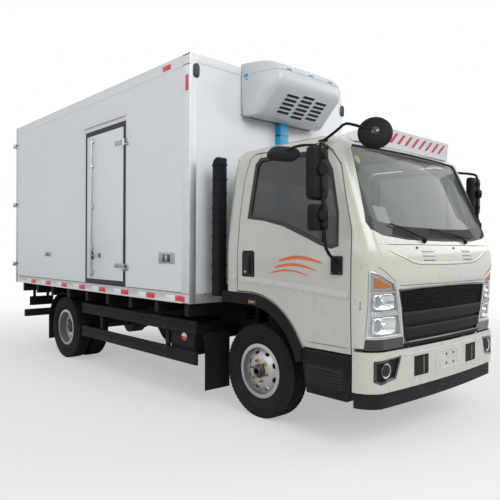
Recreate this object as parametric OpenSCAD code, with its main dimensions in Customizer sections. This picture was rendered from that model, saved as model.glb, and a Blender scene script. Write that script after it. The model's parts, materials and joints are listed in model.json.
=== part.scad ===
// Light refrigerated box truck, built from its real pieces, in millimetres.
// X points to the truck's left, the truck faces -Y, Z is up and the ground is Z = 0.
// Every length along Y below is counted from the front axle, and on_axle() moves it
// so that the origin is under the middle of the whole truck.

/* [Layout] */
// Distance between the front and the rear axle
wheelbase = 3360; // [3100:10:4200]
// Front axle to the foremost face of the bumper
front_overhang = 1170; // [1165:5:1300]
// Front axle to the front wall of the box
box_front = 635; // [600:5:900]
// Length of the insulated box, over its closed rear doors
box_length = 4150; // [3800:10:5200]
// Width of the insulated box
box_width = 2260; // [2160:10:2400]
// Height of the underside of the box above the ground
box_bottom = 900; // [860:10:1000]
// Height of the insulated box
box_height = 2230; // [1900:10:2300]

/* [Wheels] */
// Outer diameter of every tyre
tyre_d = 772; // [740:2:800]
// Width of every tyre
tyre_w = 200; // [170:5:210]
// Diameter over a rim's flanges
rim_d = 444; // [420:2:460]
// Distance between the middles of the front tyres
front_track = 1620; // [1600:10:1660]
// Distance between the middles of the twin rear pairs
rear_track = 1640; // [1620:10:1660]
// Spacing of the two tyres of a twin pair
twin_spacing = 240; // [232:2:250]
// Sideways distance from the middle of a front tyre to its kingpin
kingpin_offset = 150; // [140:5:160]

/* [Frame] */
// Distance between the middles of the two frame rails
rail_spacing = 740; // [700:10:760]
// Height of a frame rail
rail_h = 160; // [140:5:165]
// Width of a frame rail's flanges
rail_flange = 65; // [50:5:75]
// Thickness of a frame rail's sheet
rail_t = 6; // [4:1:8]
// Height of the underside of the rails
rail_bottom = 540; // [530:5:545]
// Height of the long sills that the box bearers rest on
sill_h = 80; // [60:5:90]
// Diameter of the rear axle tube
axle_tube_d = 110; // [90:5:120]
// Number of leaves in a spring
spring_leaves = 4; // [3:1:5]

/* [Cab] */
// Half of the cab's width at the belt line
cab_half_w = 972; // [950:1:980]
// Height of the cab's roof
cab_top = 2262; // [2240:1:2300]
// Thickness of the cab's walls and roof
cab_wall = 45; // [35:5:55]
// Thickness of a cab door
cab_door_t = 52; // [40:2:60]
// Thickness of a door's outer skin
skin_t = 10; // [8:1:14]
// Half of the gap between a cab door and its opening
shut_gap = 5; // [4:0.5:8]
// How far a door's inner part stays back behind the edge of its skin
door_step = 16; // [12:1:24]
// Thickness of the cab's window glass
glass_t = 5; // [4:1:8]

/* [Box] */
// Thickness of the walls, roof and rear doors
wall_t = 75; // [60:5:90]
// Thickness of the insulated floor
floor_t = 90; // [75:5:110]
// Height of the aluminium rail along the box's lower edge
rail_edge_h = 92; // [76:2:94]
// How far the edge rails stand proud of the panels
rail_edge_proud = 3; // [2:1:5]
// Width of the steel posts beside the rear doors
rear_post_w = 60; // [50:5:80]
// Height of the header over the rear doors
rear_header_h = 90; // [75:5:120]
// Gap round a box door in its opening
box_door_gap = 14; // [13:1:18]

/* [Side door] */
// Front edge of the side door's leaf
side_door_front = 1745; // [1700:5:1900]
// Width of the side door's leaf
side_door_w = 825; // [700:5:840]
// Height of the leaf's lower edge above the underside of the box
side_door_low = 125; // [122:1:200]
// Height of the side door's leaf
side_door_h = 1665; // [1500:5:1700]
// Width of the black seal outside the leaf's edge
seal_w = 27; // [20:1:27]

/* [Cooling unit] */
// Width of the cooling unit
unit_w = 1040; // [900:10:1200]
// Depth of the cooling unit in front of the box
unit_d = 470; // [400:10:480]

/* [Hidden] */
$fn = 48;

ivory = "#d9dad2";
panel_white = "#e9ecef";
black_plastic = "#2b2d30";
frame_black = "#232527";
bright_steel = "#c3c7ca";
eps = 0.5;
hair = 0.3;                       // running clearance of a pin or seat

// Whole truck
rear_hardware = 40;               // latches and hinges behind the rear doors
box_rear = box_front + box_length;
side_opening_h = min(side_door_h, box_height - side_door_low - 250);
truck_rear = box_rear + rear_hardware;
mid_y = (truck_rear - front_overhang) / 2;
axle_z = tyre_d / 2;
rail_x = rail_spacing / 2;
rail_top = rail_bottom + rail_h;
rail_front = -1090;
rail_rear = box_rear - 190;
box_half = box_width / 2;
box_top = box_bottom + box_height;
kingpin_x = front_track / 2 - kingpin_offset;

// Cab: sections of the body shell as [height, half width, front, rear, share of an inset
// that goes down instead of sideways, radius of the front corners in plan]
cab_floor_z = 720;
sill_z = 660;
cab_sections = [
  [sill_z - 20, cab_half_w - 27, -1135, 325, 0, 175],
  [cab_floor_z, cab_half_w - 14, -1150, 333, 0, 175],
  [1000, cab_half_w - 2, -1168, 340, 0, 175],
  [1330, cab_half_w, -1170, 340, 0, 175],
  [1420, cab_half_w - 4, -1142, 340, 0, 150],
  [1650, cab_half_w - 27, -1049, 338, 0, 120],
  [2000, cab_half_w - 64, -907, 325, 0, 100],
  [2170, cab_half_w - 87, -838, 300, 0.6, 90],
  [cab_top - 37, cab_half_w - 122, -755, 250, 0.8, 90],
  [cab_top, cab_half_w - 232, -600, 120, 1, 90]];
cab_rear = 340;
rear_corner_r = 60;
bow_r = 9500;                     // bow of the cab's front in plan
pillar_front = -955;              // lower front corner of a cab door
door_rear = 180;                  // rear edge of a cab door
arch_y = 30;                      // centre of the arch's outer line
arch_z = 450;
arch_r = 590;
inner_arch_y = 50;                // centre of the arch's inner line
inner_arch_z = 395;
inner_arch_r = 540;
tilt_y = -1122;                   // pin that the cab tilts about
tilt_z = 640;
tilt_pin_r = 10;
lug_w = 28;
fork_t = 12;
fork_in = rail_spacing / 2 + rail_flange / 2;
tilt_x = fork_in + fork_t + 1 + lug_w / 2;
fork_out = tilt_x + lug_w / 2 + 1;

// Cab door hinges, inside the skin and ahead of the door's edge: their axis, the heights of
// the two, the knuckle and its pin, and the bent strap that reaches round the pillar's edge
door_axis_x = cab_half_w - 27;
door_axis_y = pillar_front - 60;
door_hinge_z = [1010, 1290];
door_hinge_h = 36;
door_pin_r = 5;
door_strap = [[0, 0], [-52, 23], [-46, 49], [-16, 86]];

// Box doors
hinge_out = 35;                   // side door's axis outside the wall
side_axis_x = box_half + hinge_out;
side_axis_y = side_door_front - 30;
rear_hinge_out = 28;              // rear door's axis outside the box's corner
rear_axis_x = box_half + rear_hinge_out;
rear_axis_y = box_rear + rear_hinge_out;
rear_leaf_low = box_bottom + floor_t + 8;
rear_leaf_top = box_top - rear_header_h - 8;
rod_r = 11;

// ---------------------------------------------------------------- shared shapes

// Moves what is drawn from the front axle to the truck's own origin
module on_axle() translate([0, -mid_y, 0]) children();

// Draws its children on both sides
module both_sides() { children(); mirror([1, 0, 0]) children(); }

// Box from a low corner to a high corner
module block(lo, hi) translate(lo) cube(hi - lo);

// Cylinder along X, Y or Z that starts at p
module rod(p, axis, length, r) {
  turn = axis == "x" ? [0, 90, 0] : axis == "y" ? [-90, 0, 0] : [0, 0, 0];
  translate(p) rotate(turn) cylinder(h = length, r = r);
}

// Extrudes a (Y, Z) outline along X from x0 to x1
module side_slab(x0, x1) translate([x0, 0, 0]) rotate([90, 0, 90]) linear_extrude(x1 - x0) children();

// Extrudes an (X, Z) outline along Y from y0 to y1
module front_slab(y0, y1) translate([0, y1, 0]) rotate([90, 0, 0]) linear_extrude(y1 - y0) children();

function arc(c, r, a0, a1, n) = [for (i = [0:n]) let (a = a0 + (a1 - a0) * i / n)
  [c[0] + r * cos(a), c[1] + r * sin(a)]];
function mirrored(points) = [for (i = [len(points) - 1:-1:0]) [-points[i][0], points[i][1]]];

// ---------------------------------------------------------------- cab outlines

// Half of the cab's outline in plan, from the middle of the front to the middle of the rear
function plan_half(half, front, rear, corner) =
  let (bow = half * half / (2 * bow_r), c = half - corner)
  concat(
    [for (i = [0:4]) let (x = c * i / 4) [x, front + x * x / (2 * bow_r)]],
    arc([c, front + bow + corner - 20], corner, -75, 0, 5),
    arc([half - rear_corner_r, rear - rear_corner_r], rear_corner_r, 0, 90, 3));

module plan_outline(half, front, rear, corner) {
  right = plan_half(half, front, rear, corner);
  polygon(concat(right, mirrored(right)));
}

// The cab's whole body, inset all round by t
module cab_form(t) hull() for (s = cab_sections)
  translate([0, 0, s[0] - t * s[4]]) linear_extrude(0.1)
    plan_outline(s[1] - t, s[2] + 1.1 * t, s[3] - t, s[5]);

// A skin between two insets of the cab's body
module cab_skin(outer, inner) difference() { cab_form(outer); cab_form(inner); }

// Offsets a corner b of the path a, b, c sideways by t
function mitre(a, b, c, t) =
  let (u = (b - a) / norm(b - a), v = (c - b) / norm(c - b),
       m = [-u[1] - v[1], u[0] + v[0]])
  b + m * t * 2 / (m * m);
function side_of(path, t) = [for (i = [0:len(path) - 1])
  mitre(path[max(i - 1, 0)] - (i == 0 ? path[1] - path[0] : [0, 0]), path[i],
        path[min(i + 1, len(path) - 1)] + (i == len(path) - 1 ? path[i] - path[i - 1] : [0, 0]), t)];

// Pockets in the pillar that the hinges turn in, and the pins through them
module door_hinge_pockets() for (z = door_hinge_z)
  block([door_axis_x - 62, door_axis_y - 15, z - door_hinge_h / 2 - 7],
        [door_axis_x + 13, pillar_front + 6, z + door_hinge_h / 2 + 7]);
module door_hinge_pins(r, extra) for (z = door_hinge_z)
  rod([door_axis_x, door_axis_y, z - door_hinge_h / 2 - extra], "z", door_hinge_h + 2 * extra, r);
module door_hinge_leaves() {
  for (z = door_hinge_z) translate([door_axis_x, door_axis_y, z - door_hinge_h / 2]) {
    cylinder(h = door_hinge_h, r = 10);
    translate([0, 0, 4]) linear_extrude(door_hinge_h - 8)
      polygon(concat(side_of(door_strap, 3), [for (i = [len(door_strap) - 1:-1:0]) side_of(door_strap, -3)[i]]));
  }
}

door_outline = concat(
  [[pillar_front, sill_z + 5], [-530, sill_z + 5]],
  arc([arch_y, arch_z], arch_r, 158, 90, 10),
  [[door_rear, arch_z + arch_r], [door_rear, 1700], [door_rear - 22, 1960], [115, 2140],
   [60, 2180], [-600, 2176], [-680, 2158], [-745, 2105], [-822, 2000], [-952, 1530],
   [-962, 1420], [-962, 1300]]);
window_outline = [[78, 1648], [-120, 1622], [-320, 1575], [-560, 1482], [-700, 1425],
  [-790, 1402], [-850, 1418], [-835, 1650], [-755, 1970], [-690, 2070], [-600, 2122],
  [-10, 2135], [35, 2090]];

module door_area(grow) offset(delta = grow) polygon(door_outline);
module window_area(grow) offset(delta = grow) polygon(window_outline);

// Black flare round the wheel arch, in Y and Z
flare_outline = concat(
  [[cab_rear + 40, arch_z + arch_r - 8]],
  arc([arch_y, arch_z], arch_r - 8, 90, 160, 12),
  [[-515, 560], [-478, 545]],
  arc([inner_arch_y, inner_arch_z], inner_arch_r, 164, 90, 12),
  [[cab_rear + 45, inner_arch_z + inner_arch_r]]);
flare_depth = 60;

// Windshield's outline in X and Z
windshield_half = [[0, 1455], [500, 1462], [780, 1490], [880, 1530], [897, 1580],
  [824, 1990], [802, 2125], [768, 2158], [500, 2168], [0, 2172]];
module windshield_area() polygon(concat(windshield_half, mirrored(windshield_half)));

// Space under the cab's floor that wheels and engine need
module under_cab() {
  rod([-1200, inner_arch_y, inner_arch_z], "x", 2400, inner_arch_r + 20);
  block([-1200, inner_arch_y, 0], [1200, 500, inner_arch_z + inner_arch_r + 20]);
  block([-850, -1300, 0], [850, inner_arch_y, cab_floor_z]);
  block([-1200, -1300, 0], [1200, pillar_front - 20, cab_floor_z - 2]);
  block([-1200, -1300, 0], [1200, 500, sill_z]);
}

// The same space with the floor's thickness added, which the cavity stays out of
module under_cavity() {
  rod([-1200, inner_arch_y, inner_arch_z], "x", 2400, inner_arch_r + 20 + cab_wall);
  block([-1200, inner_arch_y, 0], [1200, 500, inner_arch_z + inner_arch_r + 20 + cab_wall]);
  block([-1200, -1300, 0], [1200, 500, cab_floor_z + cab_wall]);
}

// ---------------------------------------------------------------- chassis

module rail_profile() polygon([[0, 0], [rail_flange, 0], [rail_flange, rail_t], [rail_t, rail_t],
  [rail_t, rail_h - rail_t], [rail_flange, rail_h - rail_t], [rail_flange, rail_h], [0, rail_h]]);

cross_members = [-1000, 1260, 1950, wheelbase - 600, wheelbase + 600, rail_rear - 60];

module chassis_frame() color(frame_black) on_axle() {
  both_sides() {
    // rail, open towards the middle of the truck
    translate([rail_x + rail_flange / 2, 0, rail_bottom]) mirror([1, 0, 0])
      translate([0, rail_rear, 0]) rotate([90, 0, 0])
        linear_extrude(rail_rear - rail_front) rail_profile();
    // fork and pin that carry the cab's tilt lug
    for (x = [fork_in, fork_out])
      block([x, tilt_y - 18, tilt_z - 22], [x + fork_t, rail_front + 90, tilt_z + 22]);
    rod([fork_in, tilt_y, tilt_z], "x", fork_out + fork_t - fork_in, tilt_pin_r);
    block([fork_in, tilt_y + 12, tilt_z - 34], [fork_out + fork_t, rail_front + 90, tilt_z - 22]);
  }
  for (y = cross_members)
    block([-rail_x - rail_flange / 2 + rail_t, y - 30, rail_bottom + 70],
          [rail_x + rail_flange / 2 - rail_t, y + 30, rail_top - 35]);
}

module box_subframe() color(frame_black) on_axle() {
  both_sides() block([rail_x - 30, box_front + 40, rail_top],
                     [rail_x + 30, box_rear - 110, rail_top + sill_h]);
  bearers = floor((box_length - 300) / 480);
  for (i = [0:bearers])
    let (y = box_front + 60 + i * (box_length - 300) / bearers)
      block([-box_half + 40, y, rail_top + sill_h], [box_half - 40, y + 60, box_bottom]);
}

front_beam_z = axle_z - 70;

module front_axle() color(frame_black) on_axle() {
  // dropped I-beam with an eye at each end
  side = kingpin_x - 62;
  difference() {
    union() {
      block([-side, -35, front_beam_z - 42], [side, 35, front_beam_z - 26]);
      block([-side, -35, front_beam_z + 20], [side, 35, front_beam_z + 36]);
      block([-side, -9, front_beam_z - 42], [side, 9, front_beam_z + 36]);
      both_sides() {
        block([side - 2, -35, front_beam_z - 42], [kingpin_x, 35, axle_z + 35]);
        rod([kingpin_x, 0, front_beam_z - 42], "z", axle_z + 35 - (front_beam_z - 42), 35);
      }
    }
    both_sides() {
      rod([kingpin_x, 0, front_beam_z - 60], "z", 300, 15 + hair);
      // notch above and below the eye for the knuckle's fork
      block([side + 8, -60, axle_z + 20], [kingpin_x + 60, 60, axle_z + 60]);
    }
  }
  // spring seats
  both_sides() block([rail_x - 45, -60, front_beam_z + 36], [rail_x + 45, 60, front_beam_z + 52]);
}

leaf_t = 9;
front_spring_z = front_beam_z + 52;
rear_spring_z = axle_z + axle_tube_d / 2 + 12;

// Spring of flat leaves, longest on top, with eyes that hang from the frame rail
module leaf_spring(y, z, span) {
  n = spring_leaves;
  for (i = [0:n - 1]) {
    l = span * (1 - 0.17 * (n - 1 - i));
    block([rail_x - 35, y - l / 2, z + i * leaf_t], [rail_x + 35, y + l / 2, z + (i + 1) * leaf_t]);
  }
  top = z + n * leaf_t;
  for (end = [-1, 1]) {
    eye_y = y + end * (span / 2 - 15);
    rod([rail_x - 35, eye_y, top + 14], "x", 70, 18);
    for (x = [rail_x - 45, rail_x + 35])
      block([x, eye_y - 22, top - 4], [x + 10, eye_y + 22, rail_bottom - 10]);
    block([rail_x - 45, eye_y - 22, rail_bottom - 12], [rail_x + 45, eye_y + 22, rail_bottom]);
  }
  // clamp over the pack at the axle
  block([rail_x - 45, y - 50, z + n * leaf_t], [rail_x + 45, y + 50, z + n * leaf_t + 12]);
}

module leaf_springs() color("#303338") on_axle() both_sides() {
  leaf_spring(0, front_spring_z, 1100);
  leaf_spring(wheelbase, rear_spring_z, 1150);
}

hub_seat_x = rear_track / 2 - twin_spacing / 2 - 70;

module rear_axle() color(frame_black) on_axle() translate([0, wheelbase, axle_z]) {
  rod([-hub_seat_x, 0, 0], "x", 2 * hub_seat_x, axle_tube_d / 2);
  // differential housing
  rotate([0, 90, 0]) translate([0, 0, -90]) cylinder(h = 180, r = 150);
  rod([0, -260, 0], "y", 160, 70);
  both_sides() {
    block([rail_x - 45, -60, axle_tube_d / 2 - 8], [rail_x + 45, 60, axle_tube_d / 2 + 12]);
    rod([hub_seat_x, 0, 0], "x", rear_track / 2 + twin_spacing / 2 - 60 - hub_seat_x, 38);
  }
}

module powertrain() color("#5b5e60") on_axle() {
  // engine, one plain block between the rails
  block([-280, -200, 430], [280, 540, 860]);
  // gearbox and shaft to the rear axle
  block([-130, 540, 470], [130, 1180, 690]);
  both_sides() block([280, 100, 600], [rail_x + rail_flange / 2 - rail_t - hair, 160, 640]);
  shaft_end = wheelbase - 264;
  translate([0, 1180, 560]) rotate([-90 - atan((560 - axle_z) / (shaft_end - 1180)), 0, 0])
    cylinder(h = norm([shaft_end - 1180, 560 - axle_z]), r = 38);
}

tank_front = 1180;

module fuel_tank() color("#8d9296") on_axle() {
  front_slab(tank_front, tank_front + 720) translate([rail_x + 285, 520])
    offset(r = 70) square([300, 260], center = true);
  for (y = [tank_front + 130, tank_front + 560])
    block([rail_x + rail_flange / 2, y, rail_bottom + 20], [rail_x + 66, y + 50, rail_top - 20]);
}

module battery_box() color(frame_black) on_axle() {
  block([-1000, 720, 420], [-640, 1080, 690]);
  block([-640, 780, rail_bottom + 30], [-rail_x - rail_flange / 2, 840, rail_bottom + 90]);
  block([-640, 960, rail_bottom + 30], [-rail_x - rail_flange / 2, 1020, rail_bottom + 90]);
  // air reservoir beside the rail
  rod([-560, 1200, 560], "y", 620, 105);
  for (y = [1300, 1660])
    block([-470, y, rail_bottom + 10], [-rail_x - rail_flange / 2, y + 40, rail_bottom + 70]);
}

guard_x = 1050;
guard_front = 640;
guard_rear = wheelbase - 510;

module side_guards() color(black_plastic) on_axle() both_sides() {
  // two rails on posts that hang from the box bearers
  block([guard_x - 30, guard_front, 620], [guard_x, guard_rear, 740]);
  block([guard_x - 30, guard_front, 345], [guard_x, guard_rear, 465]);
  for (y = [guard_front + 460, guard_rear - 450]) {
    block([guard_x - 60, y, 345], [guard_x - 30, y + 50, 740]);
    block([rail_x + rail_flange / 2, y, 660], [guard_x - 60, y + 40, 700]);
  }
}

flap_t = 8;

module mudguards() color(black_plastic) on_axle() both_sides() {
  // flap behind the front wheel on its stay
  block([720, 552, 130], [1010, 552 + flap_t, 640]);
  block([rail_x + rail_flange / 2, 560, 580], [1000, 590, 610]);
  // curved guard over the rear pair, with a flap behind
  translate([600, wheelbase, axle_z]) rotate([90, 0, 90]) linear_extrude(460)
    polygon(concat(arc([0, 0], tyre_d / 2 + 50, 12, 168, 18),
                   arc([0, 0], tyre_d / 2 + 44, 168, 12, 18)));
  block([700, wheelbase - 20, axle_z + tyre_d / 2 + 48], [1000, wheelbase + 20, box_bottom]);
  block([620, wheelbase + 440, 190], [1050, wheelbase + 440 + flap_t, 560]);
  block([rail_x + rail_flange / 2, wheelbase + 448, 540], [1040, wheelbase + 474, 570]);
}

bar_z = 400;

module underride_bar() color(frame_black) on_axle() {
  block([-1040, box_rear - 150, bar_z], [1040, box_rear - 90, bar_z + 100]);
  both_sides() block([rail_x - 30, rail_rear, bar_z + 20], [rail_x + 30, box_rear - 150, rail_bottom + 60]);
}

module chassis_lamps() color("#b3262a") on_axle() both_sides() {
  // rear lamp cluster under the box
  block([640, box_rear - 190, 560], [990, box_rear - 150, 690]);
  block([700, box_rear - 180, 690], [740, box_rear - 160, box_bottom]);
  block([900, box_rear - 180, 690], [940, box_rear - 160, box_bottom]);
}

bumper_low = 420;
bumper_top = 697;
bumper_end = -975;
bumper_t = 12;

// Outline of the bumper in plan, inset by t
module bumper_plan(t) intersection() {
  plan_outline(cab_half_w - t, -front_overhang + t, cab_rear, cab_sections[0][5]);
  translate([-1200, -1300]) square([2400, 1300 + bumper_end]);
}

module tow_window(x) front_slab(-1300, -1050) translate([x, 510]) offset(r = 14) square([72, 102]);

module front_bumper() color(ivory) on_axle() difference() {
  union() {
    translate([0, 0, bumper_low]) linear_extrude(bumper_top - bumper_low)
      difference() { bumper_plan(0); bumper_plan(bumper_t); }
    // brackets to the frame
    both_sides() block([rail_x - 60, -1162, 470], [rail_x - 48, rail_front + 60, 560]);
    both_sides() block([rail_x - 60, rail_front + 2, 470], [rail_x + 20, rail_front + 60, rail_bottom]);
  }
  for (x = [-426, 354]) tow_window(x);
  both_sides() front_slab(-1300, -900) polygon([[700, 505], [860, 480], [905, 500], [905, 640], [640, 655], [650, 625]]);
  // flat seat and holes for a number plate
  block([plate_x - 110, -1300, plate_z - 60], [plate_x + 110, plate_seat, plate_z + 60]);
  for (x = [-plate_hole_x, plate_hole_x], z = [plate_z - plate_hole_z, plate_z + plate_hole_z])
    rod([plate_x + x, -1300, z], "y", 200, plate_hole_r);
}

plate_x = 30;
plate_z = 560;
plate_seat = 3 - front_overhang;
plate_hole_x = 55;
plate_hole_z = 35;
plate_hole_r = 4;

module bumper_lip() color(black_plastic) on_axle() {
  // black lip below the painted bumper, with its upright ends
  translate([0, 0, 310]) linear_extrude(bumper_low + 30 - 310) difference() {
    bumper_plan(bumper_t + hair); bumper_plan(30);
  }
  // dark trays behind the fog lamp openings
  both_sides() intersection() {
    block([620, -1200, 470], [930, bumper_end - 10, 668]);
    translate([0, 0, 300]) linear_extrude(600) difference() { bumper_plan(bumper_t + hair); bumper_plan(60); }
  }
}

module intake_duct() color(black_plastic) on_axle() {
  // snorkel with a rounded top and ribs
  translate([-990, 0, 0]) rotate([90, 0, 90]) linear_extrude(90)
    polygon(concat([[400, 980], [490, 980]], arc([430, 2130], 60, 0, 90, 8), [[400, 2190]]));
  for (i = [0:8]) block([-996, 394, 1100 + i * 120], [-894, 496, 1112 + i * 120]);
  block([-900, 420, 1000], [-rail_x - 60, 470, 1080]);
  block([-rail_x - 60, 420, rail_top], [-rail_x + 20, 470, 1080]);
}

// ---------------------------------------------------------------- box

inner_half = box_half - wall_t;

module box_floor() color("#a9adb0") on_axle()
  block([-inner_half, box_front + wall_t, box_bottom], [inner_half, box_rear - wall_t, box_bottom + floor_t]);

module box_roof() color(panel_white) on_axle()
  block([-box_half, box_front, box_top - wall_t], [box_half, box_rear - wall_t, box_top]);

module box_front_wall() color(panel_white) on_axle()
  block([-inner_half, box_front, box_bottom], [inner_half, box_front + wall_t, box_top - wall_t]);

module box_left_wall() color(panel_white) on_axle()
  block([inner_half, box_front, box_bottom], [box_half, box_rear - wall_t, box_top - wall_t]);

module box_right_wall() color(panel_white) on_axle() difference() {
  block([-box_half, box_front, box_bottom], [-inner_half, box_rear - wall_t, box_top - wall_t]);
  block([-box_half - 1, side_door_front - box_door_gap, box_bottom + side_door_low - box_door_gap],
        [-inner_half + 1, side_door_front + side_door_w + box_door_gap,
         box_bottom + side_door_low + side_opening_h + box_door_gap]);
}

module rear_door_frame() color(bright_steel) on_axle() {
  y0 = box_rear - wall_t;
  both_sides() block([box_half - rear_post_w, y0, box_bottom], [box_half, box_rear, box_top]);
  block([-box_half + rear_post_w, y0, box_top - rear_header_h], [box_half - rear_post_w, box_rear, box_top]);
  block([-box_half + rear_post_w, y0, box_bottom], [box_half - rear_post_w, box_rear, box_bottom + floor_t]);
  // fixed halves of the hinges at the corners
  both_sides() for (z = rear_hinge_z) {
    block([box_half, box_rear - 50, z - 30], [box_half + 8, rear_axis_y, z - 1]);
    block([box_half, rear_axis_y - 8, z - 30], [rear_axis_x, rear_axis_y + 3, z - 1]);
    rod([rear_axis_x, rear_axis_y, z - 30], "z", 29, 12);
  }
  both_sides() for (z = rear_hinge_z) rod([rear_axis_x, rear_axis_y, z - 30], "z", 60, 5);
}

rear_hinge_z = [for (k = [0.08, 0.5, 0.92]) rear_leaf_low + k * (rear_leaf_top - rear_leaf_low)];

module box_edge_rails() color(bright_steel) on_axle() {
  p = rail_edge_proud;
  y0 = box_front;
  y1 = box_rear - wall_t;
  both_sides() {
    // lower and upper rails and front corner posts, laid on the panels
    block([box_half, y0, box_bottom], [box_half + p, y1, box_bottom + rail_edge_h]);
    block([box_half, y0, box_top - 100], [box_half + p, y1, box_top]);
    block([box_half, y0, box_bottom + rail_edge_h], [box_half + p, y0 + 105, box_top - 100]);
    block([box_half - 70, y0 - p, box_bottom], [box_half + p, y0, box_top]);
  }
  block([-box_half + 70, y0 - p, box_top - 75], [box_half - 70, y0, box_top]);
  block([-box_half + 70, y0 - p, box_bottom], [box_half - 70, y0, box_bottom + 90]);
  // fixed halves of the side door's hinges, with their pins
  for (z = side_hinge_z) {
    block([-side_axis_x - 6, side_axis_y - 14, z - 28], [-box_half, side_axis_y - 4, z - hair]);
    rod([-side_axis_x, side_axis_y, z - 28], "z", 28 - hair, 10);
    rod([-side_axis_x, side_axis_y, z - 28], "z", 70, 5);
    block([-box_half - 6, side_axis_y - 60, z - 28], [-box_half, side_axis_y - 4, z + 45]);
  }
  // gutter over the side door and plates that hold the open doors
  block([-box_half - 22, side_door_front - 30, box_bottom + 1862],
        [-box_half, side_door_front + side_door_w + 67, box_bottom + 1872]);
  block([-box_half - 9, side_door_front - 865, box_bottom + 360], [-box_half, side_door_front - 655, box_bottom + 435]);
  both_sides() block([box_half, box_rear - 1150, box_bottom + 385], [box_half + 9, box_rear - 960, box_bottom + 445]);
}

unit_low = box_top - 480;
unit_top = box_top + 30;
unit_back = box_front - rail_edge_proud;
unit_outline = [[unit_back, unit_low + 42], [unit_back, unit_top], [box_front - 230, unit_top],
  [box_front - 390, unit_top - 50], [box_front - unit_d, unit_top - 165],
  [box_front - unit_d + 12, unit_top - 230], [box_front - 205, unit_low + 10], [box_front - 80, unit_low]];

module unit_plan(t) hull() {
  translate([-unit_w / 2 + t, box_front - 200]) square([unit_w - 2 * t, 200]);
  for (x = [-1, 1]) translate([x * (unit_w / 2 - 190), box_front - unit_d + 150 + t]) circle(150, $fn = 32);
  translate([0, box_front - unit_d + 300 + t]) circle(300, $fn = 32);
}

module refrigeration_unit() color(panel_white) on_axle() difference() {
  intersection() {
    side_slab(-unit_w / 2, unit_w / 2) polygon(unit_outline);
    translate([0, 0, unit_low - 50]) linear_extrude(700) unit_plan(0);
  }
  // three columns of air slots in the slanted face
  slope = atan2(unit_top - 230 - unit_low - 10, unit_d - 12 - 205);
  translate([0, box_front - 205, unit_low + 10]) rotate([-slope, 0, 0]) translate([0, 0, -10])
    for (c = [[-1, 5, 0.5], [0, 6, 0], [1, 5, 0.5]])
      for (i = [0:c[1] - 1])
        block([c[0] * 165 - 68, -(70 + (i + c[2]) * 40) - 20, -14], [c[0] * 165 + 68, -(70 + (i + c[2]) * 40), 22]);
}

module pipe_cover() color("#2a93bd") on_axle()
  block([-45, box_front - 85 - rail_edge_proud, 960], [75, box_front - rail_edge_proud, unit_low - hair]);

// ---------------------------------------------------------------- box doors

side_hinge_z = [box_bottom + 290, box_bottom + 1580];

module side_door() color(panel_white) on_axle() {
  z0 = box_bottom + side_door_low;
  y1 = side_door_front + side_door_w;
  block([-box_half, side_door_front, z0], [-box_half + wall_t, y1, z0 + side_opening_h]);
  // outer flange that carries the seal
  block([-box_half - 9, side_door_front - seal_w, z0 - seal_w],
        [-box_half - 1, y1 + seal_w, z0 + side_opening_h + seal_w]);
  block([-box_half - 1, side_door_front + 1, z0 + 1], [-box_half, y1 - 1, z0 + side_opening_h - 1]);
}

module side_door_latch() color(bright_steel) on_axle() {
  face = -box_half - 9;
  rod_y = side_door_front + side_door_w - 150;
  // lock rod with its guides and handle
  rod([face - 20, rod_y, box_bottom + 170], "z", 1550, rod_r);
  for (z = [200, 480, 940, 1400, 1680])
    block([face - 34, rod_y - 20, box_bottom + z], [face, rod_y + 20, box_bottom + z + 40]);
  block([face - 34, rod_y - 190, box_bottom + 400], [face - 26, rod_y - 10, box_bottom + 425]);
  block([face - 34, rod_y - 190, box_bottom + 385], [face, rod_y - 150, box_bottom + 440]);
  // hinge straps that turn about the door's axis
  for (z = side_hinge_z) difference() {
    union() {
      block([face - 8, side_axis_y, z], [face, side_door_front + 170, z + 45]);
      block([-side_axis_x - 4, side_axis_y - 4, z], [face, side_axis_y + 4, z + 45]);
      rod([-side_axis_x, side_axis_y, z], "z", 45, 10);
    }
    rod([-side_axis_x, side_axis_y, z - 1], "z", 47, 5 + hair);
  }
}

leaf_gap_mid = 6;

module rear_leaf(x0, x1) block([x0, box_rear - wall_t, rear_leaf_low], [x1, box_rear, rear_leaf_top]);

module rear_left_door() color(panel_white) on_axle()
  rear_leaf(leaf_gap_mid, box_half - rear_post_w - 6);

module rear_right_door() color(panel_white) on_axle()
  rear_leaf(-box_half + rear_post_w + 6, -leaf_gap_mid);

module rear_latch() {
  rod_x = 130;
  rod([rod_x, box_rear + 22, rear_leaf_low + 20], "z", rear_leaf_top - rear_leaf_low - 40, rod_r);
  for (k = [0.06, 0.3, 0.6, 0.93])
    let (z = rear_leaf_low + k * (rear_leaf_top - rear_leaf_low))
      block([rod_x - 22, box_rear, z], [rod_x + 22, box_rear + 36, z + 40]);
  block([rod_x + 10, box_rear + 20, rear_leaf_low + 420], [rod_x + 330, box_rear + 30, rear_leaf_low + 450]);
  block([rod_x + 290, box_rear, rear_leaf_low + 410], [rod_x + 330, box_rear + 30, rear_leaf_low + 460]);
  for (z = rear_hinge_z) difference() {
    union() {
      block([box_half - rear_post_w - 180, box_rear, z], [box_half - rear_post_w - 6, box_rear + 8, z + 30]);
      block([box_half - rear_post_w - 6, box_rear + 1, z], [rear_axis_x, box_rear + 8, z + 30]);
      block([rear_axis_x - 4, box_rear + 1, z], [rear_axis_x + 4, rear_axis_y, z + 30]);
      rod([rear_axis_x, rear_axis_y, z], "z", 30, 12);
    }
    rod([rear_axis_x, rear_axis_y, z - 1], "z", 32, 5 + hair);
  }
}

module rear_left_latch() color(bright_steel) on_axle() rear_latch();
module rear_right_latch() color(bright_steel) on_axle() mirror([1, 0, 0]) rear_latch();

// ---------------------------------------------------------------- cab

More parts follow.
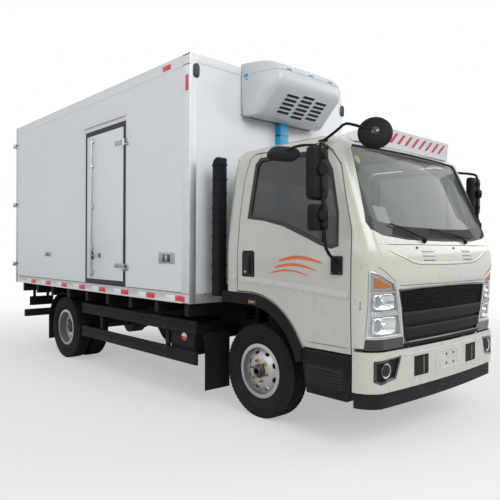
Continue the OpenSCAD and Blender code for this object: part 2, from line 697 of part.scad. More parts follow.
module cab_shell() color(ivory) on_axle() {
  difference() {
    cab_form(0);
    under_cab();
    difference() { cab_form(cab_wall); under_cavity(); }
    both_sides() side_slab(600, 1200) door_area(shut_gap);
    both_sides() side_slab(cab_half_w - flare_depth - hair, 1200) offset(delta = hair) polygon(flare_outline);
    front_slab(-1400, -700) windshield_area();
    // rear window
    front_slab(200, 400) offset(r = 40) translate([-600, 1640]) square([1200, 330]);
    // recess for the grille and openings for the headlamps
    front_slab(-1300, -1110) polygon(concat(grille_half, mirrored(grille_half)));
    both_sides() front_slab(-1300, lamp_back) polygon(lamp_outline);
    both_sides() door_hinge_pockets();
  }
  both_sides() door_hinge_pins(door_pin_r, 12);
  // lugs that turn on the frame's pins
  both_sides() translate([0, tilt_y, tilt_z]) difference() {
    union() {
      side_slab(tilt_x - lug_w / 2, tilt_x + lug_w / 2)
        polygon([[0, -17], [18, 0], [110, 60], [150, 92], [60, 92], [25, 32], [-5, 17]]);
      rod([tilt_x - lug_w / 2, 0, 0], "x", lug_w, 18);
    }
    rod([tilt_x - lug_w, 0, 0], "x", 2 * lug_w, tilt_pin_r + hair);
  }
}

grille_half = [[0, 725], [576, 717 + 8], [672, 1118], [400, 1128], [0, 1132]];
lamp_outline = [[606, 790], [925, 790], [932, 800], [932, 1240], [920, 1248], [712, 1165], [690, 1120]];
lamp_back = -1036;

module roof_board() color(panel_white) on_axle() difference() {
  // raised board over the windshield, cut to the roof it stands on
  hull() {
    block([-700, -800, 2196], [700, -560, 2200]);
    block([-560, -880, 2318], [560, -862, 2322]);
    block([-640, -760, 2255], [640, -560, 2268]);
  }
  cab_form(-hair);
}

module cab_glass() color("#56636b") on_axle() {
  intersection() {
    cab_skin(12, 12 + glass_t);
    front_slab(-1400, -720) offset(delta = -hair) windshield_area();
  }
  intersection() {
    cab_skin(12, 12 + glass_t);
    front_slab(200, 400) offset(r = 40 - hair) translate([-600, 1640]) square([1200, 330]);
  }
}

module grille() color(black_plastic) on_axle() {
  intersection() {
    cab_skin(2, 44);
    front_slab(-1300, -1111) offset(delta = -hair) polygon(concat(grille_half, mirrored(grille_half)));
  }
}

module headlamps() color("#cfd3d6") on_axle() both_sides() intersection() {
  cab_skin(1, 44);
  front_slab(-1300, lamp_back - hair) offset(delta = -hair) polygon(lamp_outline);
}

module seat(x0, x1) {
  // cushion and backrest
  side_slab(x0, x1) polygon([[-330, 1090], [-330, 1180], [-312, 1200], [69, 1200], [187, 1746], [199, 1758],
    [268, 1743], [280, 1728], [166, 1180], [150, 1120], [120, 1090]]);
  // base that stands on the raised floor
  block([x0 + 30, -200, inner_arch_z + inner_arch_r + 20 + cab_wall + hair], [x1 - 30, 100, 1091]);
}

module seats() color("#4a4d50") on_axle() {
  seat(220, 700);
  seat(-720, 120);
}

wheel_centre = [450, -560, 1420];
wheel_tilt = 38;                  // of the steering wheel's axis, back from upright
dash_half_w = 850;
column_r = 34;
shaft_r = 14;

module at_steering_wheel() translate(wheel_centre) rotate([-wheel_tilt, 0, 0]) children();

module dashboard() color("#3a3d40") on_axle() {
  intersection() {
    cab_form(cab_wall + hair);
    side_slab(-dash_half_w, dash_half_w) polygon([[-1200, 1050], [-830, 1050], [-770, 1180], [-790, 1370],
      [-900, 1410], [-1200, 1410]]);
  }
  // steering column
  at_steering_wheel() translate([0, 0, -330]) difference() {
    cylinder(h = 280, r = column_r);
    translate([0, 0, 180]) cylinder(h = 101, r = shaft_r + hair);
  }
}

module steering_wheel() color("#222426") on_axle() at_steering_wheel() {
  rotate_extrude() translate([200, 0]) circle(14, $fn = 24);
  for (a = [90, 210, 330]) rotate([0, 0, a]) block([30, -16, -10], [190, 16, 2]);
  translate([0, 0, -30]) cylinder(h = 30, r = 55);
  translate([0, 0, -140]) cylinder(h = 120, r = shaft_r);
}

module wheel_arch_trim() color(black_plastic) on_axle() both_sides() {
  side_slab(cab_half_w - flare_depth, cab_half_w) polygon(flare_outline);
  // step under the door
  side_slab(cab_half_w - 100, cab_half_w - 22) polygon([[pillar_front, sill_z - hair],
    [-515, sill_z - hair], [-515, 550], [-560, 335], [-920, 335], [pillar_front, 450]]);
}

// ---------------------------------------------------------------- cab doors

module left_door_shape() difference() {
  union() {
    intersection() { cab_skin(0, skin_t); side_slab(600, 1200) door_area(-shut_gap); }
    intersection() {
      cab_skin(skin_t - eps, cab_door_t);
      side_slab(600, 1200) door_area(-shut_gap - door_step);
    }
    door_hinge_leaves();
  }
  side_slab(500, 1200) window_area(0);
  door_hinge_pins(door_pin_r + hair, 12);
}

module left_door() color(ivory) on_axle() left_door_shape();
module right_door() color(ivory) on_axle() mirror([1, 0, 0]) left_door_shape();

module door_glass_shape() intersection() {
  cab_skin(14, 14 + glass_t);
  side_slab(600, 1200) window_area(-hair);
}
module left_door_glass() color("#4c575e") on_axle() door_glass_shape();
module right_door_glass() color("#4c575e") on_axle() mirror([1, 0, 0]) door_glass_shape();

// Mirror arm from one point to another
module arm(p, q, r) hull() { translate(p) sphere(r, $fn = 12); translate(q) sphere(r, $fn = 12); }

module side_mirrors() {
  // bracket foot on the door's front edge, arms round the mirrors, and the upper foot
  block([cab_half_w + hair, -895, 1215], [cab_half_w + 16, -800, 1345]);
  arm([cab_half_w + 20, -850, 1300], [1150, -880, 1420], 11);
  arm([1150, -880, 1420], [1180, -860, 2110], 11);
  arm([1180, -860, 2110], [cab_half_w - 70, -690, 2128], 11);
  rod([cab_half_w - 79, -690, 2128], "x", 14, 16);
  // main and wide-angle mirrors
  block([1080, -866, 1725], [1255, -800, 2085]);
  block([1085, -868, 1515], [1245, -805, 1695]);
}

module left_mirrors() color(black_plastic) on_axle() side_mirrors();
module right_mirrors() color(black_plastic) on_axle() mirror([1, 0, 0]) side_mirrors();

// Round mirror that looks down over the front, on an arm from the roof's edge
module front_mirror() color(black_plastic) on_axle() {
  foot = [-cab_half_w + 87.7, -650, 2190.6];
  arm(foot, [-960, -900, 2262], 10);
  arm([-960, -900, 2262], [-845, -1050, 2208], 10);
  translate([-834, -1057, 2197]) rotate([0, 105, 36.5]) cylinder(h = 50, r = 118, center = true);
}

// ---------------------------------------------------------------- wheels

spindle_end = front_track / 2 + 70;

module left_knuckle_shape() {
  // fork round the axle's eye, kingpin and spindle
  translate([kingpin_x, 0, 0]) {
    rod([0, 0, front_beam_z - 62], "z", axle_z + 40 - (front_beam_z - 62), 15);
    rod([0, 0, front_beam_z - 62], "z", 18, 32);
    rod([0, 0, axle_z + 22], "z", 18, 32);
  }
  difference() {
    block([kingpin_x, -32, front_beam_z - 62], [kingpin_x + 62, 32, axle_z + 40]);
    rod([kingpin_x, 0, front_beam_z - 43], "z", axle_z + 22 - (front_beam_z - 43), 42);
  }
  rod([kingpin_x + 50, 0, axle_z], "x", spindle_end - kingpin_x - 50, 26);
  // steering arm
  block([kingpin_x + 20, 30, axle_z - 60], [kingpin_x + 44, 150, axle_z - 40]);
}

module left_knuckle() color("#3b3e41") on_axle() left_knuckle_shape();
module right_knuckle() color("#3b3e41") on_axle() mirror([1, 0, 0]) left_knuckle_shape();

// Section of a tyre in (radius, across), seated between the rim's flanges
module tyre_section() {
  r_out = tyre_d / 2;
  half = tyre_w / 2;
  right = concat([[rim_in + hair, rim_half - 5], [rim_r + hair, rim_half + 3], [rim_r + 8, rim_half + 12]],
    arc([rim_r + 60, half - 42], 42, 150, 90, 3), arc([r_out - 62, half - 32], 32, 90, 35, 3),
    arc([r_out - 22, half - 38], 22, 40, 0, 3));
  polygon(concat(right, [for (i = [len(right) - 1:-1:0]) [right[i][0], -right[i][1]]]));
}

module tyre(x) translate([x, 0, axle_z]) rotate([0, 90, 0]) rotate_extrude($fn = 72) tyre_section();

rim_r = rim_d / 2;
rim_half = tyre_w / 2 - 34;
rim_in = rim_r - 24;              // radius of the barrel between the flanges

// Rim with its disc; dish is where the disc's flat sits, from the middle of the tyre
module rim(x, dish) translate([x, 0, axle_z]) rotate([0, 90, 0]) {
  difference() {
    union() {
      // barrel with both flanges
      rotate_extrude($fn = 72) polygon([[rim_in - 6, -rim_half - 10], [rim_r, -rim_half - 10],
        [rim_r, -rim_half - 4], [rim_in, -rim_half + 4], [rim_in, rim_half - 4], [rim_r, rim_half + 4],
        [rim_r, rim_half + 10], [rim_in - 6, rim_half + 10]]);
      // disc that slopes to the hub face
      rotate_extrude($fn = 72) polygon([[45, dish - 5], [110, dish - 5], [rim_in - 5, dish * 0.35 - 6],
        [rim_in - 5, dish * 0.35 + 6], [112, dish + 5], [45, dish + 5]]);
    }
    for (a = [0:45:315]) rotate([0, 0, a + 22.5]) translate([152, 0, -90]) cylinder(h = 180, r = 17);
  }
}

module hub(x0, x1, r, bore) translate([x0, 0, axle_z]) rotate([0, 90, 0]) difference() {
  cylinder(h = x1 - x0, r = r);
  translate([0, 0, -1]) cylinder(h = min(x1 - x0 - 20, spindle_end - x0 + 6) + 1, r = bore + hair);
}

front_x = front_track / 2;

module front_left_tyre() color("#26282a") on_axle() tyre(front_x);
module front_right_tyre() color("#26282a") on_axle() mirror([1, 0, 0]) tyre(front_x);
module front_rim_shape() { rim(front_x, 62); hub(front_x - 40, front_x + 105, 58, 26); }
module front_left_rim() color(bright_steel) on_axle() front_rim_shape();
module front_right_rim() color(bright_steel) on_axle() mirror([1, 0, 0]) front_rim_shape();

twin_in = rear_track / 2 - twin_spacing / 2;
twin_out = rear_track / 2 + twin_spacing / 2;

module rear_tyres_shape() translate([0, wheelbase, 0]) { tyre(twin_in); tyre(twin_out); }
module rear_rims_shape() translate([0, wheelbase, 0]) {
  rim(twin_in, 60);
  rim(twin_out, -60);
  translate([twin_in + 40, 0, axle_z]) rotate([0, 90, 0]) difference() {
    cylinder(h = twin_spacing / 2 + 90, r = 75);
    translate([0, 0, -1]) cylinder(h = twin_spacing / 2 + 70, r = 38 + hair);
  }
}
module rear_left_tyres() color("#26282a") on_axle() rear_tyres_shape();
module rear_left_rims() color(bright_steel) on_axle() rear_rims_shape();
module rear_right_tyres() color("#26282a") on_axle() mirror([1, 0, 0]) rear_tyres_shape();
module rear_right_rims() color(bright_steel) on_axle() mirror([1, 0, 0]) rear_rims_shape();

// ---------------------------------------------------------------- the truck

chassis_frame();
box_subframe();
front_axle();
leaf_springs();
rear_axle();
powertrain();
fuel_tank();
battery_box();
side_guards();
mudguards();
underride_bar();
chassis_lamps();
front_bumper();
bumper_lip();
intake_duct();
box_floor();
box_roof();
box_front_wall();
box_left_wall();
box_right_wall();
rear_door_frame();
box_edge_rails();
refrigeration_unit();
pipe_cover();
side_door();
side_door_latch();
rear_left_door();
rear_right_door();
rear_left_latch();
rear_right_latch();
cab_shell();
roof_board();
cab_glass();
grille();
headlamps();
seats();
dashboard();
wheel_arch_trim();
front_mirror();
left_door();
right_door();
left_door_glass();
right_door_glass();
left_mirrors();
right_mirrors();
steering_wheel();
left_knuckle();
right_knuckle();
front_left_tyre();
front_left_rim();
front_right_tyre();
front_right_rim();
rear_left_tyres();
rear_left_rims();
rear_right_tyres();
rear_right_rims();
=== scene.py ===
import json
import math

import bmesh
import bpy
from mathutils import Matrix, Vector


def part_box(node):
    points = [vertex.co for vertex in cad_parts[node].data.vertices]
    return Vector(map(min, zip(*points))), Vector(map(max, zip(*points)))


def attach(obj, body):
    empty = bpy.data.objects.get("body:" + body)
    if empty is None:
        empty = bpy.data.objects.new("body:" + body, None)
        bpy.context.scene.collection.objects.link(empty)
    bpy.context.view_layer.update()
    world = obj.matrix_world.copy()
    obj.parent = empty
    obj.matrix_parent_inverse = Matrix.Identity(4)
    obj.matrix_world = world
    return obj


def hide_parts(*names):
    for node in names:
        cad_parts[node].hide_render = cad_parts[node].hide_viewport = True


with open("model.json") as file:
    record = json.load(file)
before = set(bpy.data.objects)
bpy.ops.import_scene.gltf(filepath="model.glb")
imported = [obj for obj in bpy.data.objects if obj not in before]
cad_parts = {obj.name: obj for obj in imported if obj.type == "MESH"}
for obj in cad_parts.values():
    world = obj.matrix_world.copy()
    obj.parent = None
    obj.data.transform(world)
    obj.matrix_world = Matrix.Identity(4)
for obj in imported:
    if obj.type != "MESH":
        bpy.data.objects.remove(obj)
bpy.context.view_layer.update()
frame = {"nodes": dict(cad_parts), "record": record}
NODES = frame["nodes"]
RECORD = frame["record"]
BODY_OF = {n: b for b, ns in RECORD["behaviour"]["bodies"].items() for n in ns}
SLOT_OF = {p["node"]: p["material_slot"] for p in RECORD["subparts"]}


def mid(node):
    lo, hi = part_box(node)
    return (lo + hi) / 2


# Y below is counted from the front axle, as in the CAD source
AXLE_Y = mid("front_left_tyre").y
AXLE_Z = mid("front_left_tyre").z
TYRE_R = AXLE_Z
REAR_Y = mid("rear_left_tyres").y - AXLE_Y
BOX_LO, BOX_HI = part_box("box_right_wall")
BOX_X = BOX_HI.x if BOX_HI.x > 0 else -BOX_LO.x
BOX_FRONT = BOX_LO.y - AXLE_Y
BOX_REAR = BOX_HI.y - AXLE_Y
BOX_LOW = BOX_LO.z
BOX_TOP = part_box("box_roof")[1].z


def P(x, y, z):
    return Vector((x, y + AXLE_Y, z))


# ------------------------------------------------------------------ materials


def principled(name, color, rough=0.5, metal=0.0, coat=0.0, coat_rough=0.1, spec=0.5, alpha=None):
    m = bpy.data.materials.new(name)
    m.use_nodes = True
    t = m.node_tree
    t.nodes.clear()
    out = t.nodes.new("ShaderNodeOutputMaterial")
    b = t.nodes.new("ShaderNodeBsdfPrincipled")
    t.links.new(b.outputs["BSDF"], out.inputs["Surface"])
    b.inputs["Base Color"].default_value = (*color, 1)
    b.inputs["Roughness"].default_value = rough
    b.inputs["Metallic"].default_value = metal
    b.inputs["Coat Weight"].default_value = coat
    b.inputs["Coat Roughness"].default_value = coat_rough
    b.inputs["Specular IOR Level"].default_value = spec
    if alpha is not None:
        b.inputs["Alpha"].default_value = alpha
    m.diffuse_color = (*color, 1)
    return m, t, b


def coords(t, scale=(1, 1, 1)):
    tc = t.nodes.new("ShaderNodeTexCoord")
    mp = t.nodes.new("ShaderNodeMapping")
    mp.inputs["Scale"].default_value = scale
    t.links.new(tc.outputs["Object"], mp.inputs["Vector"])
    return tc, mp.outputs["Vector"]


def noise(t, vec, scale, detail=3.0, rough=0.5):
    n = t.nodes.new("ShaderNodeTexNoise")
    n.inputs["Scale"].default_value = scale
    n.inputs["Detail"].default_value = detail
    n.inputs["Roughness"].default_value = rough
    t.links.new(vec, n.inputs["Vector"])
    return n.outputs["Fac"]


def ramp(t, fac, stops):
    r = t.nodes.new("ShaderNodeValToRGB")
    el = r.color_ramp.elements
    el[0].position, el[0].color = stops[0][0], (*stops[0][1], 1)
    el[1].position, el[1].color = stops[-1][0], (*stops[-1][1], 1)
    for p, c in stops[1:-1]:
        e = el.new(p)
        e.color = (*c, 1)
    t.links.new(fac, r.inputs["Fac"])
    return r.outputs["Color"]


def math_node(t, op, a, b=None, clamp=False):
    n = t.nodes.new("ShaderNodeMath")
    n.operation = op
    n.use_clamp = clamp
    for i, v in enumerate((a, b)):
        if v is None:
            continue
        if hasattr(v, "links"):
            t.links.new(v, n.inputs[i])
        else:
            n.inputs[i].default_value = v
    return n.outputs[0]


def mix_color(t, fac, a, b, mode="MIX"):
    n = t.nodes.new("ShaderNodeMix")
    n.data_type = "RGBA"
    n.blend_type = mode
    for sock, v in ((n.inputs[0], fac), (n.inputs[6], a), (n.inputs[7], b)):
        if hasattr(v, "links"):
            t.links.new(v, sock)
        elif isinstance(v, (int, float)):
            sock.default_value = v
        else:
            sock.default_value = (*v, 1)
    return n.outputs[2]


def bump(t, b, height, strength, distance=0.001):
    n = t.nodes.new("ShaderNodeBump")
    n.inputs["Strength"].default_value = strength
    n.inputs["Distance"].default_value = distance
    t.links.new(height, n.inputs["Height"])
    t.links.new(n.outputs["Normal"], b.inputs["Normal"])
    return n


def shade(c, f):
    return tuple(max(0.0, min(1.0, v * f)) for v in c)


def finish_material(name, color, rough=0.5, metal=0.0, coat=0.0, coat_rough=0.1, spec=0.5, alpha=None,
                    vary=0.06, vary_scale=3.0, grain=600.0, grain_bump=0.1, grain_dist=0.0005,
                    stretch=(1, 1, 1), rough_vary=0.08, dirt=None, dirt_color=(0.27, 0.24, 0.2), wave=0.0):
    """Surface with mottled colour, grain in its bump and gloss, and dust that thins out with height."""
    m, t, b = principled(name, color, rough, metal, coat, coat_rough, spec, alpha)
    tc, vec = coords(t, stretch)
    big = noise(t, vec, vary_scale, 4.0, 0.55)
    col = ramp(t, big, [(0.3, shade(color, 1 - vary)), (0.7, shade(color, 1 + vary))])
    fine = noise(t, vec, grain, 2.0, 0.6)
    if dirt:
        top, amount = dirt
        sep = t.nodes.new("ShaderNodeSeparateXYZ")
        t.links.new(tc.outputs["Object"], sep.inputs[0])
        mr = t.nodes.new("ShaderNodeMapRange")
        mr.inputs["From Min"].default_value = top
        mr.inputs["From Max"].default_value = top * 0.25
        mr.inputs["To Min"].default_value = 0.0
        mr.inputs["To Max"].default_value = 1.0
        t.links.new(sep.outputs["Z"], mr.inputs["Value"])
        spots = noise(t, tc.outputs["Object"], 9.0, 6.0, 0.65)
        sp = math_node(t, "MULTIPLY", math_node(t, "SUBTRACT", spots, 0.25, True), 2.0 * amount)
        fac = math_node(t, "MULTIPLY", mr.outputs[0], sp, True)
        col = mix_color(t, fac, col, dirt_color)
    t.links.new(col, b.inputs["Base Color"])
    if rough_vary:
        rv = noise(t, vec, vary_scale * 3.7, 3.0)
        r = math_node(t, "ADD", math_node(t, "MULTIPLY", math_node(t, "SUBTRACT", rv, 0.5), rough_vary * 2),
            rough, True)
        t.links.new(r, b.inputs["Roughness"])
    if wave:
        wv = noise(t, tc.outputs["Object"], 2.2, 1.0)
        h = math_node(t, "ADD", math_node(t, "MULTIPLY", wv, wave),
            math_node(t, "MULTIPLY", fine, grain_bump))
        bump(t, b, h, 1.0, grain_dist)
    elif grain_bump:
        bump(t, b, fine, grain_bump, grain_dist)
    return m


MAT = {}
MAT["cab_paint"] = finish_material("ivory_paint", (0.505, 0.500, 0.445), 0.28, coat=0.6, coat_rough=0.06,
    vary=0.012, grain=30, grain_bump=0.02, rough_vary=0.03, dirt=(0.7, 0.015),
    dirt_color=(0.45, 0.43, 0.38))
MAT["panel_white"] = finish_material("white_panel", (0.70, 0.715, 0.735), 0.34, coat=0.12, coat_rough=0.2,
    vary=0.015, vary_scale=1.2, grain=300, grain_bump=0.05, wave=1.5, grain_dist=0.002, rough_vary=0.05)
MAT["rail_metal"] = finish_material("brushed_rail", (0.62, 0.63, 0.64), 0.36, metal=0.85,
    vary=0.05, vary_scale=6, grain=220, grain_bump=0.12, stretch=(1, 0.15, 1))
MAT["stainless"] = finish_material("stainless", (0.43, 0.44, 0.45), 0.28, metal=1.0,
    vary=0.04, grain=350, grain_bump=0.08, stretch=(4, 4, 0.3))
MAT["galvanised"] = finish_material("galvanised", (0.36, 0.375, 0.39), 0.5, metal=0.6,
    vary=0.18, vary_scale=22, grain=120, grain_bump=0.1)
MAT["black_plastic"] = finish_material("grained_plastic", (0.009, 0.0095, 0.0105), 0.55, spec=0.12,
    vary=0.12, grain=900, grain_bump=0.35, grain_dist=0.0006, dirt=(0.75, 0.3),
    dirt_color=(0.06, 0.055, 0.048))
MAT["gloss_black"] = finish_material("gloss_black", (0.012, 0.012, 0.013), 0.14, coat=0.5,
    vary=0.1, grain=300, grain_bump=0.01, rough_vary=0.03)
MAT["rubber"] = finish_material("seal_rubber", (0.016, 0.016, 0.017), 0.6, vary=0.12, grain=500,
    grain_bump=0.15)
MAT["frame_black"] = finish_material("chassis_paint", (0.008, 0.008, 0.009), 0.55, spec=0.14, vary=0.2,
    vary_scale=5, grain=160, grain_bump=0.15, dirt=(0.9, 0.45), dirt_color=(0.055, 0.05, 0.044))
MAT["cast_grey"] = finish_material("bare_casting", (0.06, 0.06, 0.063), 0.6, metal=0.35, vary=0.25,
    vary_scale=8, grain=140, grain_bump=0.5, grain_dist=0.001, dirt=(1.0, 0.4),
    dirt_color=(0.10, 0.088, 0.074))
MAT["alloy_tank"] = finish_material("mill_sheet", (0.40, 0.41, 0.42), 0.38, metal=0.8, vary=0.1,
    vary_scale=7, grain=200, grain_bump=0.1, stretch=(1, 0.2, 1), dirt=(0.8, 0.3))
MAT["tyre_rubber"] = finish_material("tyre_rubber", (0.010, 0.010, 0.0105), 0.75, spec=0.15, vary=0.22,
    vary_scale=7, grain=260, grain_bump=0.3, grain_dist=0.0008, dirt=(0.5, 0.25),
    dirt_color=(0.07, 0.065, 0.058))
MAT["rim_silver"] = finish_material("silver_rim", (0.50, 0.505, 0.51), 0.36, metal=0.45, vary=0.06,
    vary_scale=8, grain=300, grain_bump=0.06, dirt=(0.8, 0.28), dirt_color=(0.25, 0.22, 0.18))
MAT["nut_gold"] = finish_material("zinc_nut", (0.55, 0.42, 0.19), 0.32, metal=0.9, vary=0.12, vary_scale=40,
    grain=400, grain_bump=0.05)
MAT["unit_shell"] = finish_material("moulded_shell", (0.54, 0.565, 0.59), 0.34, coat=0.3, coat_rough=0.15,
    vary=0.02, grain=500, grain_bump=0.08)
MAT["blue_plastic"] = finish_material("blue_plastic", (0.02, 0.33, 0.58), 0.4, vary=0.08, grain=400,
    grain_bump=0.08)
MAT["seat_fabric"] = finish_material("seat_cloth", (0.055, 0.057, 0.062), 0.9, vary=0.2, vary_scale=60,
    grain=700, grain_bump=0.8, grain_dist=0.001)
MAT["interior_grey"] = finish_material("interior_plastic", (0.10, 0.10, 0.105), 0.6, vary=0.08, grain=160,
    grain_bump=0.12)
MAT["red_lens"] = finish_material("red_lens", (0.55, 0.012, 0.014), 0.16, coat=0.6, vary=0.15,
    vary_scale=60, grain=160, grain_bump=0.15)
MAT["amber_lens"] = finish_material("amber_lens", (0.52, 0.15, 0.006), 0.16, coat=0.6, vary=0.12,
    vary_scale=60, grain=160, grain_bump=0.15)
MAT["reflex_red"] = finish_material("reflex_red", (0.62, 0.02, 0.025), 0.3, coat=0.4, vary=0.12,
    vary_scale=90, grain=420, grain_bump=0.3)
MAT["reflex_white"] = finish_material("reflex_white", (0.78, 0.79, 0.8), 0.3, coat=0.4, vary=0.06,
    vary_scale=90, grain=420, grain_bump=0.3)
MAT["chrome"] = finish_material("reflector_chrome", (0.78, 0.79, 0.8), 0.09, metal=1.0, vary=0.03,
    grain=200, grain_bump=0.02, rough_vary=0.03)
MAT["lamp_grey"] = finish_material("lamp_bezel", (0.52, 0.53, 0.53), 0.3, metal=0.55, vary=0.08, grain=300,
    grain_bump=0.05)
MAT["paper"] = finish_material("plain_paper", (0.82, 0.82, 0.79), 0.8, vary=0.03, grain=300, grain_bump=0.1)
MAT["sticker_yellow"] = finish_material("sticker_yellow", (0.85, 0.62, 0.05), 0.5, vary=0.05, grain=300,
    grain_bump=0.05)
MAT["stripe_orange"] = finish_material("stripe_orange", (0.66, 0.12, 0.02), 0.3, coat=0.5, vary=0.06,
    grain=300, grain_bump=0.03)
# near-black for frit, a valve and panel gaps, also painted shade: dark sheets and lines in openings,
# recesses, grooves and behind the grille
MAT["black_and_painted_shade"] = finish_material("black_and_painted_shade", (0.008, 0.008, 0.009), 0.8, vary=0.1, grain=200,
    grain_bump=0.1)


def glass(name, color, alpha, rough=0.03):
    m, t, b = principled(name, color, rough, spec=0.8, alpha=alpha, coat=0.3, coat_rough=0.02)
    n = noise(t, coords(t)[1], 5.0, 2.0)
    t.links.new(ramp(t, n, [(0.3, shade(color, 0.9)), (0.7, shade(color, 1.1))]), b.inputs["Base Color"])
    return m


MAT["window_glass"] = glass("tinted_glass", (0.02, 0.026, 0.028), 0.66)
MAT["windshield"] = glass("windshield_glass", (0.07, 0.09, 0.092), 0.36)
MAT["lamp_lens"] = glass("clear_lens", (0.25, 0.26, 0.27), 0.05)
MAT["mirror"] = finish_material("mirror_face", (0.75, 0.78, 0.8), 0.03, metal=1.0, vary=0.02, grain=100,
    grain_bump=0.0, rough_vary=0.01)

# ------------------------------------------------------------------ mesh tools


class Shape:
    """Collects faces with their materials, and becomes one piece."""

    def __init__(self, *mats):
        self.bm = bmesh.new()
        self.mats = list(mats)

    def slot(self, mat):
        if mat not in self.mats:
            self.mats.append(mat)
        return self.mats.index(mat)

    def _tag(self, faces, mat):
        i = self.slot(mat) if mat else 0
        for f in faces:
            f.material_index = i

    def box(self, a, b, mat=None, r=0.0, seg=2, turn=None):
        """Box between any two opposite corners."""
        lo, hi = Vector(map(min, a, b)), Vector(map(max, a, b))
        c, s = (lo + hi) / 2, hi - lo
        m = Matrix.Translation(c) @ (turn or Matrix.Identity(4)) @ Matrix.Diagonal((*s, 1))
        vs = bmesh.ops.create_cube(self.bm, size=1, matrix=m)["verts"]
        fs = list({f for v in vs for f in v.link_faces})
        self._tag(fs, mat)
        if r:
            es = list({e for v in vs for e in v.link_edges})
            bmesh.ops.bevel(self.bm, geom=es, offset=r, segments=seg, profile=0.5, affect="EDGES",
                clamp_overlap=True)
        return vs

    def rod(self, a, b, r, mat=None, n=20, r2=None, caps=True):
        a, b = Vector(a), Vector(b)
        d = b - a
        rot = d.to_track_quat("Z", "Y").to_matrix().to_4x4()
        m = Matrix.Translation((a + b) / 2) @ rot
        vs = bmesh.ops.create_cone(self.bm, cap_ends=caps, segments=n, radius1=r,
            radius2=r if r2 is None else r2, depth=d.length, matrix=m)["verts"]
        self._tag({f for v in vs for f in v.link_faces}, mat)
        return vs

    def ball(self, c, r, mat=None, n=16, scale=(1, 1, 1)):
        m = Matrix.Translation(c) @ Matrix.Diagonal((*scale, 1))
        vs = bmesh.ops.create_uvsphere(self.bm, u_segments=n, v_segments=max(6, n // 2), radius=r,
            matrix=m)["verts"]
        self._tag({f for v in vs for f in v.link_faces}, mat)

    def grid(self, rows, mat=None, close_u=False, close_v=False):
        """Joins rows of points into quads."""
        vs = [[self.bm.verts.new(p) for p in row] for row in rows]
        out = []
        nu, nv = len(vs), len(vs[0])
        for i in range(nu if close_u else nu - 1):
            for j in range(nv if close_v else nv - 1):
                q = [vs[i][j], vs[i][(j + 1) % nv], vs[(i + 1) % nu][(j + 1) % nv], vs[(i + 1) % nu][j]]
                try:
                    out.append(self.bm.faces.new(q))
                except ValueError:
                    pass
        self._tag(out, mat)
        return vs

    def cap(self, verts, mat=None):
        try:
            f = self.bm.faces.new(verts)
            self._tag([f], mat)
        except ValueError:
            pass

    def prism(self, pts, a, b, mat=None):
        """Closed prism: a(p) and b(p) place the outline's points on its two end faces."""
        lo = [self.bm.verts.new(a(*p)) for p in pts]
        hi = [self.bm.verts.new(b(*p)) for p in pts]
        fs = [self.bm.faces.new(lo[::-1]), self.bm.faces.new(hi)]
        n = len(pts)
        for i in range(n):
            fs.append(self.bm.faces.new([lo[i], lo[(i + 1) % n], hi[(i + 1) % n], hi[i]]))
        self._tag(fs, mat)

    def sweep(self, pts, r, mat=None, n=10, flat=1.0, up=None):
        """Tube along points; flat squeezes it across."""
        pts = [Vector(p) for p in pts]
        rows = []
        prev = None
        for i, p in enumerate(pts):
            d = (pts[min(i + 1, len(pts) - 1)] - pts[max(i - 1, 0)]).normalized()
            if prev is None:
                ref = Vector(up) if up else (Vector((0, 0, 1)) if abs(d.z) < 0.9 else Vector((1, 0, 0)))
                x = d.cross(ref).normalized()
            else:
                x = (prev - d * prev.dot(d)).normalized()
            prev = x
            y = d.cross(x).normalized()
            rr = r[i] if isinstance(r, (list, tuple)) else r
            rows.append([p + x * rr * math.cos(2 * math.pi * k / n)
                + y * rr * flat * math.sin(2 * math.pi * k / n) for k in range(n)])
        vs = self.grid(rows, mat, close_v=True)
        self.cap(vs[0][::-1], mat)
        self.cap(vs[-1], mat)

    def lathe(self, profile, centre, axis, mat=None, n=64):
        """Turns (radius, along) points about an axis; a profile that starts off it closes on itself."""
        axis = Vector(axis).normalized()
        ref = Vector((0, 0, 1)) if abs(axis.z) < 0.9 else Vector((1, 0, 0))
        u = axis.cross(ref).normalized()
        v = axis.cross(u).normalized()
        rows = []
        for r, h in profile:
            rows.append([Vector(centre) + axis * h + (u * math.cos(2 * math.pi * k / n)
                + v * math.sin(2 * math.pi * k / n)) * r for k in range(n)])
        return self.grid(rows, mat, close_u=profile[0][0] > 0, close_v=True)

    def done(self, name, body, slot, bevel=0.0, seg=2, smooth=35, nodes=(), angle=30, merge=1e-5,
            subsurf=0):
        bm = self.bm
        bmesh.ops.remove_doubles(bm, verts=bm.verts, dist=merge)
        loose = [v for v in bm.verts if not v.link_faces]
        bmesh.ops.delete(bm, geom=loose, context="VERTS")
        bmesh.ops.recalc_face_normals(bm, faces=bm.faces)
        me = bpy.data.meshes.new(name)
        bm.to_mesh(me)
        bm.free()
        for m in self.mats:
            me.materials.append(MAT[m])
        return place(me, name, body, bevel, seg, smooth, nodes, angle, subsurf)


def place(me, name, body, bevel=0.0, seg=2, smooth=35, nodes=(), angle=30, subsurf=0):
    o = bpy.data.objects.new(name, me)
    bpy.context.scene.collection.objects.link(o)
    for p in me.polygons:
        p.use_smooth = True
    if smooth is not None:
        me.set_sharp_from_angle(angle=math.radians(smooth))
    if bevel:
        b = o.modifiers.new("edge", "BEVEL")
        b.width = bevel
        b.segments = seg
        b.limit_method = "ANGLE"
        b.angle_limit = math.radians(angle)
        b.harden_normals = False
        b.use_clamp_overlap = True
        b.miter_outer = "MITER_ARC"
    if subsurf:
        s = o.modifiers.new("round", "SUBSURF")
        s.levels = s.render_levels = subsurf
    if bevel or subsurf:
        w = o.modifiers.new("normals", "WEIGHTED_NORMAL")
        w.keep_sharp = True
        w.weight = 50
    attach(o, body)
    if nodes:
        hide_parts(*nodes)
    return o


